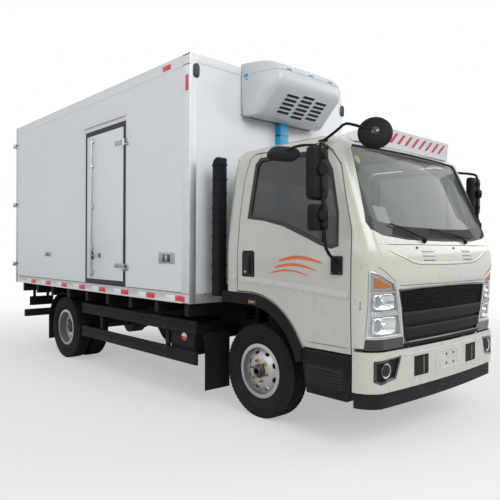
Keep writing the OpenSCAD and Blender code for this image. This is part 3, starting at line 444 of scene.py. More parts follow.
def clean_copy(node, name=None, mats=None, bevel=0.0, seg=2, smooth=35, angle=30, dissolve=True, pick=None):
    """Replaces a CAD node by its own shape with welded seams and rounded edges."""
    src = NODES[node]
    bm = bmesh.new()
    bm.from_mesh(src.data)
    bmesh.ops.remove_doubles(bm, verts=bm.verts, dist=2e-5)
    if dissolve:
        bmesh.ops.dissolve_limit(bm, angle_limit=math.radians(0.8), verts=bm.verts, edges=bm.edges,
                                 delimit={"MATERIAL"})
    for f in bm.faces:
        f.material_index = 0
    names = mats or [SLOT_OF[node]]
    if pick:
        for f in bm.faces:
            f.material_index = pick(f)
    me = bpy.data.meshes.new(name or node + "_skin")
    bm.to_mesh(me)
    bm.free()
    for m in names:
        me.materials.append(MAT[m])
    return place(me, name or node + "_skin", BODY_OF[node], bevel, seg, smooth, (node,),
        angle)


def arc(cx, cy, r, a0, a1, n):
    return [(cx + r * math.cos(math.radians(a0 + (a1 - a0) * i / n)),
             cy + r * math.sin(math.radians(a0 + (a1 - a0) * i / n))) for i in range(n + 1)]


def both(fn):
    for side in (1, -1):
        fn(side)


def hand(side):
    return "left" if side > 0 else "right"


# ------------------------------------------------------------------ the cab's surface

# Height, half width, front, rear, corner radius, as in the CAD source, in metres
CAB_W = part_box("cab_shell")[1].x
CAB_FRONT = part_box("front_bumper")[0].y - AXLE_Y
CAB = [
    (0.640, CAB_W - 0.027, CAB_FRONT + 0.035, 0.325, 0.175),
    (0.720, CAB_W - 0.014, CAB_FRONT + 0.020, 0.333, 0.175),
    (1.000, CAB_W - 0.002, CAB_FRONT + 0.002, 0.340, 0.175),
    (1.330, CAB_W, CAB_FRONT, 0.340, 0.175),
    (1.420, CAB_W - 0.004, CAB_FRONT + 0.028, 0.340, 0.150),
    (1.650, CAB_W - 0.027, CAB_FRONT + 0.121, 0.338, 0.120),
    (2.000, CAB_W - 0.064, CAB_FRONT + 0.263, 0.325, 0.100),
    (2.170, CAB_W - 0.087, CAB_FRONT + 0.332, 0.300, 0.090),
    (2.225, CAB_W - 0.122, CAB_FRONT + 0.415, 0.250, 0.090),
    (2.262, CAB_W - 0.232, CAB_FRONT + 0.570, 0.120, 0.090),
]
BOW = 9.5


def section(z):
    if z <= CAB[0][0]:
        return CAB[0][1:]
    for a, b in zip(CAB, CAB[1:]):
        if z <= b[0]:
            k = (z - a[0]) / (b[0] - a[0])
            return tuple(p + (q - p) * k for p, q in zip(a[1:], b[1:]))
    return CAB[-1][1:]


def corner_y(half, front, c):
    """Y of the centre of a front corner's arc, which is drawn a little into the bowed front."""
    return front + half * half / (2 * BOW) + c - 0.020


def front_y(x, z):
    """Y of the cab's front skin."""
    half, front, _, c = section(z)
    x = min(abs(x), half - 1e-4)
    k = half - c
    if x <= k:
        return front + x * x / (2 * BOW)
    cy = corner_y(half, front, c)
    a = front + k * k / (2 * BOW)
    y = cy - math.sqrt(max(c * c - (x - k) ** 2, 0))
    return max(y, a) if x < k + 0.05 else y


def side_x(y, z):
    """X of the cab's side skin."""
    half, front, _, c = section(z)
    cy = corner_y(half, front, c)
    if y >= cy:
        return half
    return half - c + math.sqrt(max(c * c - (cy - y) ** 2, 0))


def on_front(x, z, out=0.0):
    """A point on the cab's front skin, moved out by that much."""
    e = 0.004
    y = front_y(x, z)
    dx = (front_y(x + e, z) - front_y(x - e, z)) / (2 * e)
    dz = (front_y(x, z + e) - front_y(x, z - e)) / (2 * e)
    if abs(x) > section(z)[0] - 0.02:
        dx = max(-3, min(3, dx))
    n = Vector((dx, -1, dz)).normalized()
    return P(x, y, z) + n * out


def on_side(side, y, z, out=0.0):
    """A point on the cab's side skin, moved out by that much."""
    e = 0.004
    x = side_x(y, z)
    dy = (side_x(y + e, z) - side_x(y - e, z)) / (2 * e)
    dz = (side_x(y, z + e) - side_x(y, z - e)) / (2 * e)
    n = Vector((1, -max(-3, min(3, dy)), -dz)).normalized()
    p = Vector((x, y, z)) + n * out
    return P(side * p.x, p.y, p.z)


def densify(pts, step, closed=True):
    """More points along an outline, so that a plate follows a curved skin."""
    out = []
    n = len(pts)
    for i in range(n if closed else n - 1):
        a, b = Vector(pts[i]), Vector(pts[(i + 1) % n])
        k = max(1, int((b - a).length / step))
        out += [tuple(a + (b - a) * j / k) for j in range(k)]
    if not closed:
        out.append(tuple(pts[-1]))
    return out


def plate(shape, pts, at, lo, hi, mat, step=0.03):
    """Plate between two offsets from a curved skin, filled with a mesh fine enough to follow it."""
    ring = densify(pts, step)
    bm = bmesh.new()
    vs = [bm.verts.new((p[0], p[1], 0)) for p in ring]
    es = [bm.edges.new((vs[i], vs[(i + 1) % len(vs)])) for i in range(len(vs))]
    bmesh.ops.triangle_fill(bm, use_beauty=True, edges=es)
    xs = [p[0] for p in ring]
    ys = [p[1] for p in ring]
    for lo_, hi_, no in ((min(xs), max(xs), (1, 0, 0)), (min(ys), max(ys), (0, 1, 0))):
        k = max(1, int((hi_ - lo_) / step))
        for i in range(1, k):
            c = lo_ + (hi_ - lo_) * i / k
            geom = bm.verts[:] + bm.edges[:] + bm.faces[:]
            bmesh.ops.bisect_plane(bm, geom=geom, plane_co=(c if no[0] else 0, c if no[1] else 0, 0),
                plane_no=no, dist=1e-6)
    bm.verts.index_update()
    top, bot = {}, {}
    for v in bm.verts:
        top[v] = shape.bm.verts.new(at(v.co.x, v.co.y, hi))
        bot[v] = shape.bm.verts.new(at(v.co.x, v.co.y, lo))
    fs = []
    for f in bm.faces:
        fs.append(shape.bm.faces.new([top[v] for v in f.verts]))
        fs.append(shape.bm.faces.new([bot[v] for v in f.verts][::-1]))
    for e in bm.edges:
        if len(e.link_faces) == 1:
            a, b = e.verts
            fs.append(shape.bm.faces.new([top[a], top[b], bot[b], bot[a]]))
    shape._tag(fs, mat)
    bm.free()

# ------------------------------------------------------------------ wheels

TYRE_W = 0.2
RIM_R = 0.222


def tyre_piece(shape, x, y):
    """Tyre with its ribs, grooves and shoulder lugs, about (x, y)."""
    c = P(x, y, AXLE_Z)
    R = TYRE_R
    hw = TYRE_W / 2
    side = [(RIM_R - 0.003, hw - 0.037), (RIM_R + 0.004, hw - 0.028), (RIM_R + 0.010, hw - 0.020),
        (RIM_R + 0.022, hw - 0.010), (RIM_R + 0.040, hw - 0.003), (RIM_R + 0.062, hw - 0.0005),
        (RIM_R + 0.085, hw - 0.002), (RIM_R + 0.088, hw - 0.0045), (RIM_R + 0.092, hw - 0.0045),
        (RIM_R + 0.095, hw - 0.004), (RIM_R + 0.112, hw - 0.009), (RIM_R + 0.130, hw - 0.016),
        (R - 0.021, hw - 0.0195), (R - 0.010, hw - 0.0225)]
    top = [(R - 0.004, hw - 0.026), (R - 0.0025, hw - 0.032)]
    grooves = [0.052, 0.019, -0.019, -0.052]
    gw, gd = 0.0045, 0.010
    prof = side + top
    for g in grooves:
        z = 0.0022 * (1 - (abs(g) / 0.06)) if abs(g) < 0.06 else 0
        r = R - 0.0022 + z
        prof += [(r, g + gw), (r - gd, g + gw * 0.6), (r - gd, g - gw * 0.6), (r, g - gw)]
    prof += [(p, -w) for p, w in (side + top)[::-1]]
    prof = [(min(r, R), w) for r, w in prof]
    shape.lathe(prof, c, (1, 0, 0), "tyre_rubber", n=96)
    # inner liner closes the casing
    shape.lathe([(RIM_R - 0.003, hw - 0.037), (RIM_R - 0.005, 0), (RIM_R - 0.003, -hw + 0.037)], c,
        (1, 0, 0), "tyre_rubber", n=96)
    # shoulder lugs
    n = 66
    for k in range(n):
        a = 2 * math.pi * k / n
        for e in (1, -1):
            m = Matrix.Translation(c) @ Matrix.Rotation(a + (math.pi / n if e > 0 else 0), 4, "X")
            lug = [(-0.0105, R - 0.026, e * (hw - 0.0185)), (0.0105, R - 0.026, e * (hw - 0.0185)),
                   (0.0105, R - 0.0025, e * (hw - 0.0235)), (-0.0105, R - 0.0025, e * (hw - 0.0235)),
                   (-0.0105, R - 0.0008, e * (hw - 0.042)), (0.0105, R - 0.0008, e * (hw - 0.042))]
            vs = [shape.bm.verts.new(m @ Vector((p[2], p[0], p[1]))) for p in lug]
            base = [shape.bm.verts.new(m @ Vector((e * (hw - 0.042), q, R - 0.012)))
                for q in (-0.0105, 0.0105)]
            fs = [(vs[0], vs[1], vs[2], vs[3]), (vs[3], vs[2], vs[5], vs[4]),
                (vs[0], vs[3], vs[4], base[0]), (vs[1], base[1], vs[5], vs[2]),
                (vs[4], vs[5], base[1], base[0]), (vs[0], base[0], base[1], vs[1])]
            for f in fs:
                try:
                    shape.bm.faces.new(f).material_index = shape.slot("tyre_rubber")
                except ValueError:
                    pass
    # fine cuts across the middle ribs, drawn as flat dark marks on the tread: painted shade in place of cut
    # grooves
    m2 = 88
    for k in range(m2):
        a = 2 * math.pi * k / m2
        for w0, w1 in ((0.024, 0.047), (-0.014, 0.014), (-0.047, -0.024)):
            m = Matrix.Translation(c) @ Matrix.Rotation(a + w0 * 9, 4, "X")
            vs = [shape.bm.verts.new(m @ Vector((w, q, TYRE_R - 0.0006 - 0.0022 * abs(w) / 0.06))) for w,
                q in ((w0, -0.0012), (w1, 0.0008), (w1, 0.0032), (w0, 0.0012))]
            try:
                shape.bm.faces.new(vs).material_index = shape.slot("black_and_painted_shade")
            except ValueError:
                pass
    # rings and blank bars moulded on the side wall
    for e in (1, -1):
        for k in range(24):
            a = 2 * math.pi * k / 24
            if k % 6 in (2, 3):
                continue
            m = Matrix.Translation(c) @ Matrix.Rotation(a, 4, "X")
            q = [(e * (hw - 0.0012), -0.016, RIM_R + 0.055), (e * (hw - 0.0012), 0.016, RIM_R + 0.055),
                 (e * (hw - 0.0012), 0.0165, RIM_R + 0.066), (e * (hw - 0.0012), -0.0165, RIM_R + 0.066)]
            q2 = [(e * (hw + 0.0003), p[1] * 0.94, p[2] + (0.001 if i < 2 else -0.001)) for i,
                p in enumerate(q)]
            a_ = [shape.bm.verts.new(m @ Vector(p)) for p in q]
            b_ = [shape.bm.verts.new(m @ Vector(p)) for p in q2]
            for f in ([b_[0], b_[1], b_[2], b_[3]], *[[a_[i], a_[(i + 1) % 4], b_[(i + 1) % 4], b_[i]]
                    for i in range(4)]):
                try:
                    shape.bm.faces.new(f).material_index = shape.slot("tyre_rubber")
                except ValueError:
                    pass


def disc_with_holes(shape, c, s, profile, holes, hole_r, hole_at, mat, n=160, thick=0.008, stretch=1.6):
    """Wheel disc turned about X from (radius, across) points, with long rounded holes at hole_at."""
    def inside(a, r):
        for k in range(holes):
            h = 2 * math.pi * (k + 0.5) / holes
            da = (a - h + math.pi) % (2 * math.pi) - math.pi
            u = da * hole_at
            if (u / (hole_r * stretch)) ** 2 + ((r - hole_at) / hole_r) ** 2 < 1:
                return True
        return False

    def across(r):
        for (r0, w0), (r1, w1) in zip(profile, profile[1:]):
            if min(r0, r1) <= r <= max(r0, r1) and r0 != r1:
                return w0 + (w1 - w0) * (r - r0) / (r1 - r0)
        return profile[-1][1]

    rs = sorted({p[0] for p in profile} | {hole_at + hole_r * math.sin(math.pi / 2 * k / 5)
        for k in range(-5, 6)})
    top, bot = {}, {}
    for i, r in enumerate(rs):
        for k in range(n):
            a = 2 * math.pi * k / n
            w = across(r)
            for d, off in ((top, thick / 2), (bot, -thick / 2)):
                d[i, k] = shape.bm.verts.new(c + Vector((s * (w + off), r * math.sin(a), r * math.cos(a))))
    faces = {}
    for i in range(len(rs) - 1):
        for k in range(n):
            a = 2 * math.pi * (k + 0.5) / n
            faces[i, k] = not inside(a, (rs[i] + rs[i + 1]) / 2)
    mi = shape.slot(mat)
    for (i, k), on in faces.items():
        if not on:
            continue
        k2 = (k + 1) % n
        for d in (top, bot):
            shape.bm.faces.new([d[i, k], d[i, k2], d[i + 1, k2], d[i + 1, k]]).material_index = mi
        for (j, q), e in (((i, k2), ((i, k2), (i + 1, k2))), ((i, (k - 1) % n), ((i, k), (i + 1, k)))):
            if (j, q) in faces and not faces[j, q]:
                shape.bm.faces.new([top[e[0]], top[e[1]], bot[e[1]], bot[e[0]]]).material_index = mi
        for j in (i - 1, i + 1):
            if (j, k) in faces and not faces[j, k]:
                q = i if j < i else i + 1
                shape.bm.faces.new([top[q, k], top[q, k2], bot[q, k2], bot[q, k]]).material_index = mi


def rim_barrel(shape, c, s):
    r = RIM_R
    inn = r - 0.024
    h = 0.066
    prof = [(inn - 0.006, -h - 0.010), (r - 0.004, -h - 0.010), (r + 0.001, -h - 0.008),
        (r + 0.001, -h - 0.005), (r - 0.004, -h - 0.003), (inn + 0.002, -h + 0.006), (inn, -h + 0.012),
        (inn, h - 0.012), (inn + 0.002, h - 0.006), (r - 0.004, h + 0.003), (r + 0.001, h + 0.005),
        (r + 0.001, h + 0.008), (r - 0.004, h + 0.010), (inn - 0.006, h + 0.010)]
    shape.lathe([(a, b * s) for a, b in prof], c, (1, 0, 0), "rim_silver", n=96)
    shape.lathe([(inn - 0.006, (h + 0.010) * s), (inn - 0.006, 0.0), (inn - 0.006, (-h - 0.010) * s)], c,
        (1, 0, 0), "rim_silver", n=96)


def nuts(shape, c, s, w, n, radius, r, h, stud, mat="nut_gold"):
    for k in range(n):
        a = 2 * math.pi * k / n + 0.3
        p = c + Vector((s * w, radius * math.sin(a), radius * math.cos(a)))
        shape.rod(p, p + Vector((s * 0.004, 0, 0)), r * 1.25, mat, n=20)
        shape.rod(p + Vector((s * 0.003, 0, 0)), p + Vector((s * h, 0, 0)), r, mat, n=6)
        shape.rod(p + Vector((s * h, 0, 0)), p + Vector((s * (h + stud), 0, 0)), r * 0.6, "cast_grey", n=14)


def front_wheel(side):
    name = hand(side)
    x = mid(f"front_{name}_tyre").x
    t = Shape()
    tyre_piece(t, x, 0)
    t.done(f"front_{name}_tyre_ribbed", f"front_{name}_wheel", "tyre_rubber", smooth=40,
        nodes=(f"front_{name}_tyre",), merge=1e-6)
    s = Shape()
    c = P(x, 0, AXLE_Z)
    rim_barrel(s, c, side)
    disc_with_holes(s, c, side, [(0.050, 0.062), (0.108, 0.062), (0.122, 0.056), (0.150, 0.040),
        (0.176, 0.026), (0.194, 0.022)], 8, 0.0155, 0.152, "rim_silver")
    # hub, its dark cap and the ring of nuts
    s.lathe([(0.058, -0.040), (0.058, 0.066), (0.0, 0.066)], c, (side, 0, 0), "cast_grey", n=40)
    s.lathe([(0.058, 0.060), (0.0575, 0.082), (0.052, 0.088), (0.046, 0.090), (0.044, 0.099),
        (0.038, 0.103), (0.0, 0.1045)], c, (side, 0, 0), "gloss_black", n=40)
    nuts(s, c, side, 0.066, 6, 0.085, 0.0135, 0.020, 0.008)
    s.rod(c + Vector((side * 0.064, 0.0, 0.196)), c + Vector((side * 0.078, 0.0, 0.186)), 0.004,
        "black_and_painted_shade", n=10)
    s.done(f"front_{name}_rim_detailed", f"front_{name}_wheel", "rim_silver", smooth=35,
        nodes=(f"front_{name}_rim",), merge=1e-6)


def rear_wheel(side):
    name = hand(side)
    m = mid(f"rear_{name}_tyres").x
    t = Shape()
    s = Shape()
    for off, out in ((-0.12, 1), (0.12, -1)):
        x = m + side * off
        tyre_piece(t, x, REAR_Y)
        c = P(x, REAR_Y, AXLE_Z)
        rim_barrel(s, c, side)
        disc_with_holes(s, c, side * out, [(0.050, 0.060), (0.108, 0.060), (0.122, 0.054), (0.150, 0.040),
            (0.176, 0.026), (0.194, 0.021)], 8, 0.0155, 0.152, "rim_silver")
    t.done(f"rear_{name}_tyres_ribbed", f"rear_{name}_wheels", "tyre_rubber", smooth=40,
        nodes=(f"rear_{name}_tyres",), merge=1e-6)
    c = P(m + side * 0.12, REAR_Y, AXLE_Z)
    s.lathe([(0.075, -0.20), (0.075, -0.056), (0.074, -0.020), (0.070, 0.010), (0.062, 0.020),
        (0.058, 0.024), (0.056, 0.030), (0.020, 0.034), (0.0, 0.034)], c, (side, 0, 0), "cast_grey", n=48)
    for k in range(8):
        a = 2 * math.pi * k / 8
        p = c + Vector((side * 0.022, 0.062 * math.sin(a), 0.062 * math.cos(a)))
        s.rod(p, p + Vector((side * 0.007, 0, 0)), 0.006, "cast_grey", n=6)
    nuts(s, c, side, -0.054, 6, 0.092, 0.0135, 0.020, 0.008)
    s.done(f"rear_{name}_rims_detailed", f"rear_{name}_wheels", "rim_silver", smooth=35,
        nodes=(f"rear_{name}_rims",), merge=1e-6)


both(front_wheel)
both(rear_wheel)

# ------------------------------------------------------------------ chassis

for node, bev in (("chassis_frame", 0.003), ("box_subframe", 0.003), ("leaf_springs", 0.0015),
        ("battery_box", 0.006), ("underride_bar", 0.006), ("fuel_tank", 0.0), ("rear_axle", 0.004),
        ("front_axle", 0.004), ("left_knuckle", 0.003), ("right_knuckle", 0.003), ("mudguards", 0.002)):
    clean_copy(node, bevel=bev, seg=2)


def powertrain():
    s = Shape()
    # engine block with its cover, sump and ribs
    s.box(P(-0.24, -0.18, 0.50), P(0.24, 0.52, 0.80), "cast_grey", r=0.03, seg=3)
    s.box(P(-0.17, -0.16, 0.79), P(0.17, 0.50, 0.858), "black_plastic", r=0.022, seg=3)
    s.box(P(-0.19, -0.12, 0.432), P(0.19, 0.46, 0.51), "frame_black", r=0.025, seg=3)
    for k in range(9):
        y = -0.14 + k * 0.076
        s.box(P(-0.256, y, 0.53), P(0.256, y + 0.018, 0.76), "cast_grey", r=0.006)
    for k in range(6):
        for e in (1, -1):
            s.rod(P(e * 0.17, -0.1 + k * 0.11, 0.79), P(e * 0.17, -0.1 + k * 0.11, 0.815), 0.011,
                "cast_grey", n=6)
    # belt pulleys and cooling fan shroud ahead of the block
    for x, z, r in ((0.0, 0.56, 0.085), (0.13, 0.70, 0.055), (-0.14, 0.69, 0.06)):
        s.lathe([(0.0, 0), (r, 0), (r, 0.006), (r * 0.88, 0.011), (r, 0.016), (r, 0.02), (0, 0.02)],
            P(x, -0.178, z), (0, -1, 0), "cast_grey", n=32)
    # gearbox with its bell and ribs
    s.lathe([(0.0, 0), (0.128, 0), (0.128, 0.05), (0.11, 0.18), (0.10, 0.40), (0.098, 0.55), (0.06, 0.62),
        (0.0, 0.62)], P(0, 0.545, 0.58), (0, 1, 0), "cast_grey", n=28)
    for k in range(7):
        s.lathe([(0.09, 0), (0.118 - k * 0.002, 0), (0.118 - k * 0.002, 0.014), (0.09, 0.014)],
            P(0, 0.62 + k * 0.075, 0.58), (0, 1, 0), "cast_grey", n=28)
    # shaft with its joints
    a, b = P(0, 1.17, 0.56), P(0, REAR_Y - 0.262, AXLE_Z)
    d = (b - a).normalized()
    s.rod(a, b, 0.036, "frame_black", n=28)
    for t in (0.02, 0.97):
        p = a + (b - a) * t
        s.rod(p - d * 0.03, p + d * 0.03, 0.046, "cast_grey", n=24)
        s.rod(p - Vector((0.052, 0, 0)), p + Vector((0.052, 0, 0)), 0.016, "cast_grey", n=16)
    # engine feet on the rails
    both(lambda e: s.box(P(e * 0.33 - 0.07, 0.105, 0.602), P(e * 0.33 + 0.066, 0.158, 0.638), "cast_grey",
        r=0.008))
    s.done("powertrain_detailed", "chassis", "cast_grey", smooth=35, nodes=("powertrain",))


powertrain()


def side_guards():
    lo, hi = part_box("side_guards")
    gx = hi.x
    y0, y1 = lo.y - AXLE_Y, hi.y - AXLE_Y
    for side in (1, -1):
        s = Shape()
        for z0, z1 in ((0.620, 0.740), (0.345, 0.465)):
            # pressed rail: a shallow channel with a rib along its face
            prof = [(gx - 0.030, z0), (gx - 0.004, z0), (gx, z0 + 0.004), (gx, z0 + 0.036),
                (gx - 0.007, z0 + 0.044), (gx - 0.007, z1 - 0.044), (gx, z1 - 0.036), (gx, z1 - 0.004),
                (gx - 0.004, z1), (gx - 0.030, z1), (gx - 0.030, z1 - 0.004), (gx - 0.012, z1 - 0.008),
                (gx - 0.012, z0 + 0.008), (gx - 0.030, z0 + 0.004)]
            s.prism([(side * a, b) for a, b in prof], lambda x, z: P(x, y0 + 0.004, z), lambda x,
                z: P(x, y1 - 0.004, z), "black_plastic")
            for y in (y0, y1 - 0.006):
                s.box(P(side * gx - (0.030 if side > 0 else 0.0), y, z0 + 0.002),
                    P(side * gx + (0.030 if side < 0 else 0.0), y + 0.006, z1 - 0.002), "black_plastic",
                    r=0.002)
            for py in (y0 + 0.485, y1 - 0.425):
                for zz in (z0 + 0.02, z1 - 0.02):
                    p = P(side * gx, py, zz)
                    s.rod(p - Vector((side * 0.004, 0, 0)), p + Vector((side * 0.004, 0, 0)), 0.009,
                        "cast_grey", n=6)
        for py in (y0 + 0.460, y1 - 0.450):
            s.box(P(side * (gx - 0.060), py, 0.345), P(side * (gx - 0.030), py + 0.05, 0.740),
                "frame_black", r=0.004)
            s.box(P(side * 0.4025, py, 0.660), P(side * (gx - 0.060), py + 0.04, 0.700), "frame_black",
                r=0.004)
        s.done("side_guard_" + hand(side), "chassis", "black_plastic", smooth=35,
               nodes=("side_guards",))


side_guards()


def chassis_lamps():
    y0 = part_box("chassis_lamps")[0].y - AXLE_Y
    for side in (1, -1):
        s = Shape()
        x0, x1 = 0.640, 0.990
        s.box(P(side * x0, y0, 0.560), P(side * x1, y0 + 0.030, 0.690), "black_plastic", r=0.006)
        for k, m in enumerate(("red_lens", "red_lens", "amber_lens", "reflex_white")):
            a = x0 + 0.008 + k * 0.084
            s.box(P(side * a, y0 + 0.028, 0.570), P(side * (a + 0.078), y0 + 0.040, 0.680), m, r=0.007,
                seg=3)
        for a in (0.700, 0.900):
            s.box(P(side * a, y0 + 0.010, 0.690), P(side * (a + 0.040), y0 + 0.030, BOX_LOW), "frame_black",
                r=0.003)
        s.done("tail_lamp_" + hand(side), "chassis", "red_lens", smooth=35, nodes=("chassis_lamps",))


chassis_lamps()

# ------------------------------------------------------------------ cargo box

BX = BOX_X
RAIL_H = 0.092
WALL = 0.075
SIDE_HINGES = (0.290, 1.580)    # heights over the box floor


def panel(node, bevel=0.003):
    return clean_copy(node, bevel=bevel, seg=2)


for node in ("box_floor", "box_roof", "box_front_wall", "box_left_wall", "box_right_wall"):
    panel(node, 0.002)


def rivets(s, a, b, pitch, r, h, normal, mat):
    """Row of domed fixings from a to b."""
    a, b, n = Vector(a), Vector(b), Vector(normal)
    k = max(1, int((b - a).length / pitch))
    for i in range(k + 1):
        p = a + (b - a) * (i / k)
        s.rod(p - n * 0.001, p + n * h * 0.6, r, mat, n=10)
        s.rod(p + n * h * 0.6, p + n * h, r, mat, n=10, r2=r * 0.5)


def edge_rails():
    s = Shape()
    pr = 0.003
    y0, y1 = BOX_FRONT, BOX_REAR - WALL
    z0, z1 = BOX_LOW, BOX_TOP
    for e in (1, -1):
        def at(x, y, z):
            return P(e * x, y, z)
        # lower rail with two rolled ridges, upper rail, corner post with its rounded outer edge
        low = [(BX, z0), (BX + pr, z0), (BX + pr, z0 + 0.006), (BX + pr - 0.0015, z0 + 0.012),
            (BX + pr - 0.0015, z0 + 0.080), (BX + pr, z0 + 0.086), (BX + pr, z0 + RAIL_H),
            (BX, z0 + RAIL_H)]
        s.prism([(a, b) for a, b in low], lambda x, z: at(x, y0, z), lambda x, z: at(x, y1, z),
            "rail_metal")
        up = [(BX, z1 - 0.100), (BX + pr, z1 - 0.100), (BX + pr, z1 - 0.092),
            (BX + pr - 0.0012, z1 - 0.086), (BX + pr - 0.0012, z1 - 0.020), (BX + pr, z1 - 0.012),
            (BX + pr, z1 - 0.003), (BX + pr - 0.003, z1), (BX, z1)]
        s.prism(up, lambda x, z: at(x, y0, z), lambda x, z: at(x, y1, z), "panel_white")
        post = [(BX - 0.070, y0), (BX - 0.070, y0 - pr), (BX - 0.004, y0 - pr),
            (BX + pr - 0.001, y0 - pr + 0.0015), (BX + pr, y0 + 0.003), (BX + pr, y0 + 0.105),
            (BX, y0 + 0.105), (BX, y0)]
        s.prism(post, lambda x, y: at(x, y, z0 + RAIL_H), lambda x, y: at(x, y, z1 - 0.100), "rail_metal")
        s.prism(post, lambda x, y: at(x, y, z1 - 0.099), lambda x, y: at(x, y, z1), "rail_metal")
        s.prism(post, lambda x, y: at(x, y, z0), lambda x, y: at(x, y, z0 + RAIL_H - 0.001), "rail_metal")
        # joint line trim where the panels meet the rails
        s.box(P(e * BX, y0 + 0.105, z0 + RAIL_H), P(e * (BX + 0.0022), y1, z0 + RAIL_H + 0.006), "rubber")
        rivets(s, at(BX + pr - 0.0015, y0 + 0.16, z0 + 0.076), at(BX + pr - 0.0015, y1 - 0.05, z0 + 0.076),
            0.22, 0.0045, 0.003, (e, 0, 0), "rail_metal")
        rivets(s, at(BX + pr - 0.0012, y0 + 0.16, z1 - 0.030), at(BX + pr - 0.0012, y1 - 0.05, z1 - 0.030),
            0.22, 0.0045, 0.003, (e, 0, 0), "panel_white")
        rivets(s, at(BX + pr, y0 + 0.088, z0 + 0.14), at(BX + pr, y0 + 0.088, z1 - 0.14), 0.22, 0.0045,
            0.003, (e, 0, 0), "rail_metal")
        rivets(s, at(BX - 0.055, y0 - pr, z0 + 0.14), at(BX - 0.055, y0 - pr, z1 - 0.14), 0.22, 0.0045,
            0.003, (0, -1, 0), "rail_metal")
    s.box(P(-BX + 0.070, y0 - pr, z1 - 0.075), P(BX - 0.070, y0, z1), "panel_white", r=0.001)
    s.box(P(-BX + 0.070, y0 - pr + 0.0004, z1 - 0.0775), P(BX - 0.070, y0, z1 - 0.0752), "lamp_grey")
    s.box(P(-BX + 0.070, y0 - pr, z0), P(BX - 0.070, y0, z0 + 0.090), "lamp_grey", r=0.001)
    # hinge halves of the side door
    sx = BX + 0.035
    sy = SIDE_Y0 - 0.030
    for z in (z0 + h for h in SIDE_HINGES):
        s.box(P(-BX - 0.006, sy - 0.060, z - 0.028), P(-BX, sy - 0.004, z + 0.045), "stainless", r=0.002)
        s.box(P(-sx - 0.006, sy - 0.014, z - 0.028), P(-BX, sy - 0.004, z - 0.0005), "stainless", r=0.002)
        s.rod(P(-sx, sy, z - 0.028), P(-sx, sy, z - 0.0005), 0.010, "stainless", n=24)
        s.rod(P(-sx, sy, z - 0.028), P(-sx, sy, z + 0.045), 0.005, "cast_grey", n=16)
        for dz in (-0.012, 0.030):
            s.rod(P(-BX - 0.005, sy - 0.042, z + dz), P(-BX - 0.009, sy - 0.042, z + dz), 0.006,
                "stainless", n=6)
    # gutter over the side door
    gy0, gy1 = SIDE_Y0 - 0.030, SIDE_Y1 + 0.067
    g = [(BX, z0 + 1.862), (BX + 0.020, z0 + 1.862), (BX + 0.022, z0 + 1.864), (BX + 0.022, z0 + 1.872),
        (BX + 0.020, z0 + 1.872), (BX + 0.019, z0 + 1.8645), (BX + 0.002, z0 + 1.8645),
        (BX + 0.002, z0 + 1.872), (BX, z0 + 1.872)]
    s.prism([(-a, b) for a, b in g], lambda x, z: P(x, gy0, z), lambda x, z: P(x, gy1, z), "rail_metal")
    # door holders
    s.box(P(-BX - 0.0035, SIDE_Y0 - 0.895, z0 + 0.350), P(-BX, SIDE_Y0 - 0.635, z0 + 0.455), "galvanised",
        r=0.001)
    s.box(P(-BX - 0.009, SIDE_Y0 - 0.835, z0 + 0.364), P(-BX - 0.003, SIDE_Y0 - 0.695, z0 + 0.440),
        "gloss_black", r=0.0025)
    s.box(P(-BX - 0.0095, SIDE_Y0 - 0.780, z0 + 0.376), P(-BX - 0.008, SIDE_Y0 - 0.750, z0 + 0.430),
        "stainless", r=0.0006)
    for e in (1, -1):
        s.box(P(e * BX, BOX_REAR - 1.150, z0 + 0.385), P(e * (BX + 0.0035), BOX_REAR - 0.960, z0 + 0.445),
            "galvanised", r=0.001)
        s.box(P(e * (BX + 0.003), BOX_REAR - 1.10, z0 + 0.393),
            P(e * (BX + 0.009), BOX_REAR - 1.00, z0 + 0.437), "gloss_black", r=0.0025)
    # reflective blocks along the lower rail, in pairs of red and white
    for e in (1, -1):
        y = y0 + 0.06
        i = 0
        while y + 0.145 < y1 + 0.03:
            s.box(P(e * (BX + 0.0012), y, z0 + 0.014), P(e * (BX + pr + 0.0006), y + 0.145, z0 + 0.066),
                "reflex_red" if i % 2 == 0 else "reflex_white", r=0.0004)
            i += 1
            y += 0.150 if i % 2 else 0.33
        # marks near the upper corners
        for ya, yb, za, zb in ((y0 + 0.29, y0 + 0.42, z1 - 0.080, z1 - 0.032),
                (y0 + 0.018, y0 + 0.066, z1 - 0.33, z1 - 0.19),
                (y0 + 0.018, y0 + 0.066, z1 - 0.185, z1 - 0.13)):
            s.box(P(e * (BX + 0.001), ya, za), P(e * (BX + pr + 0.0008), yb, zb),
                "reflex_red" if za != z1 - 0.185 else "reflex_white", r=0.0004)
    # oval clearance lamps high on the front
    for e in (1, -1):
        c = P(e * 1.065, y0 - pr, z1 - 0.150)
        rings = []
        for k, d in ((1.0, 0.0), (1.0, 0.008), (0.90, 0.011), (0.80, 0.008), (0.74, 0.012), (0.5, 0.016),
                (0.0, 0.018)):
            rings.append([c + Vector((0.034 * k * math.cos(q), -d,
                (0.034 * math.sin(q) + math.copysign(0.030, math.sin(q) + 1e-9)) * k))
                for q in [2 * math.pi * i / 32 for i in range(32)]])
        s.grid(rings[:4], "gloss_black", close_v=True)
        s.grid(rings[3:], "cast_grey", close_v=True)
    s.done("box_rails_detailed", "chassis", "rail_metal", smooth=35, nodes=("box_edge_rails",), merge=1e-6)


_lo, _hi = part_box("side_door")
SEAL = 0.027
SIDE_Y0 = _lo.y - AXLE_Y + SEAL
SIDE_Y1 = _hi.y - AXLE_Y - SEAL
SIDE_Z0 = _lo.z + SEAL
SIDE_Z1 = _hi.z - SEAL
edge_rails()


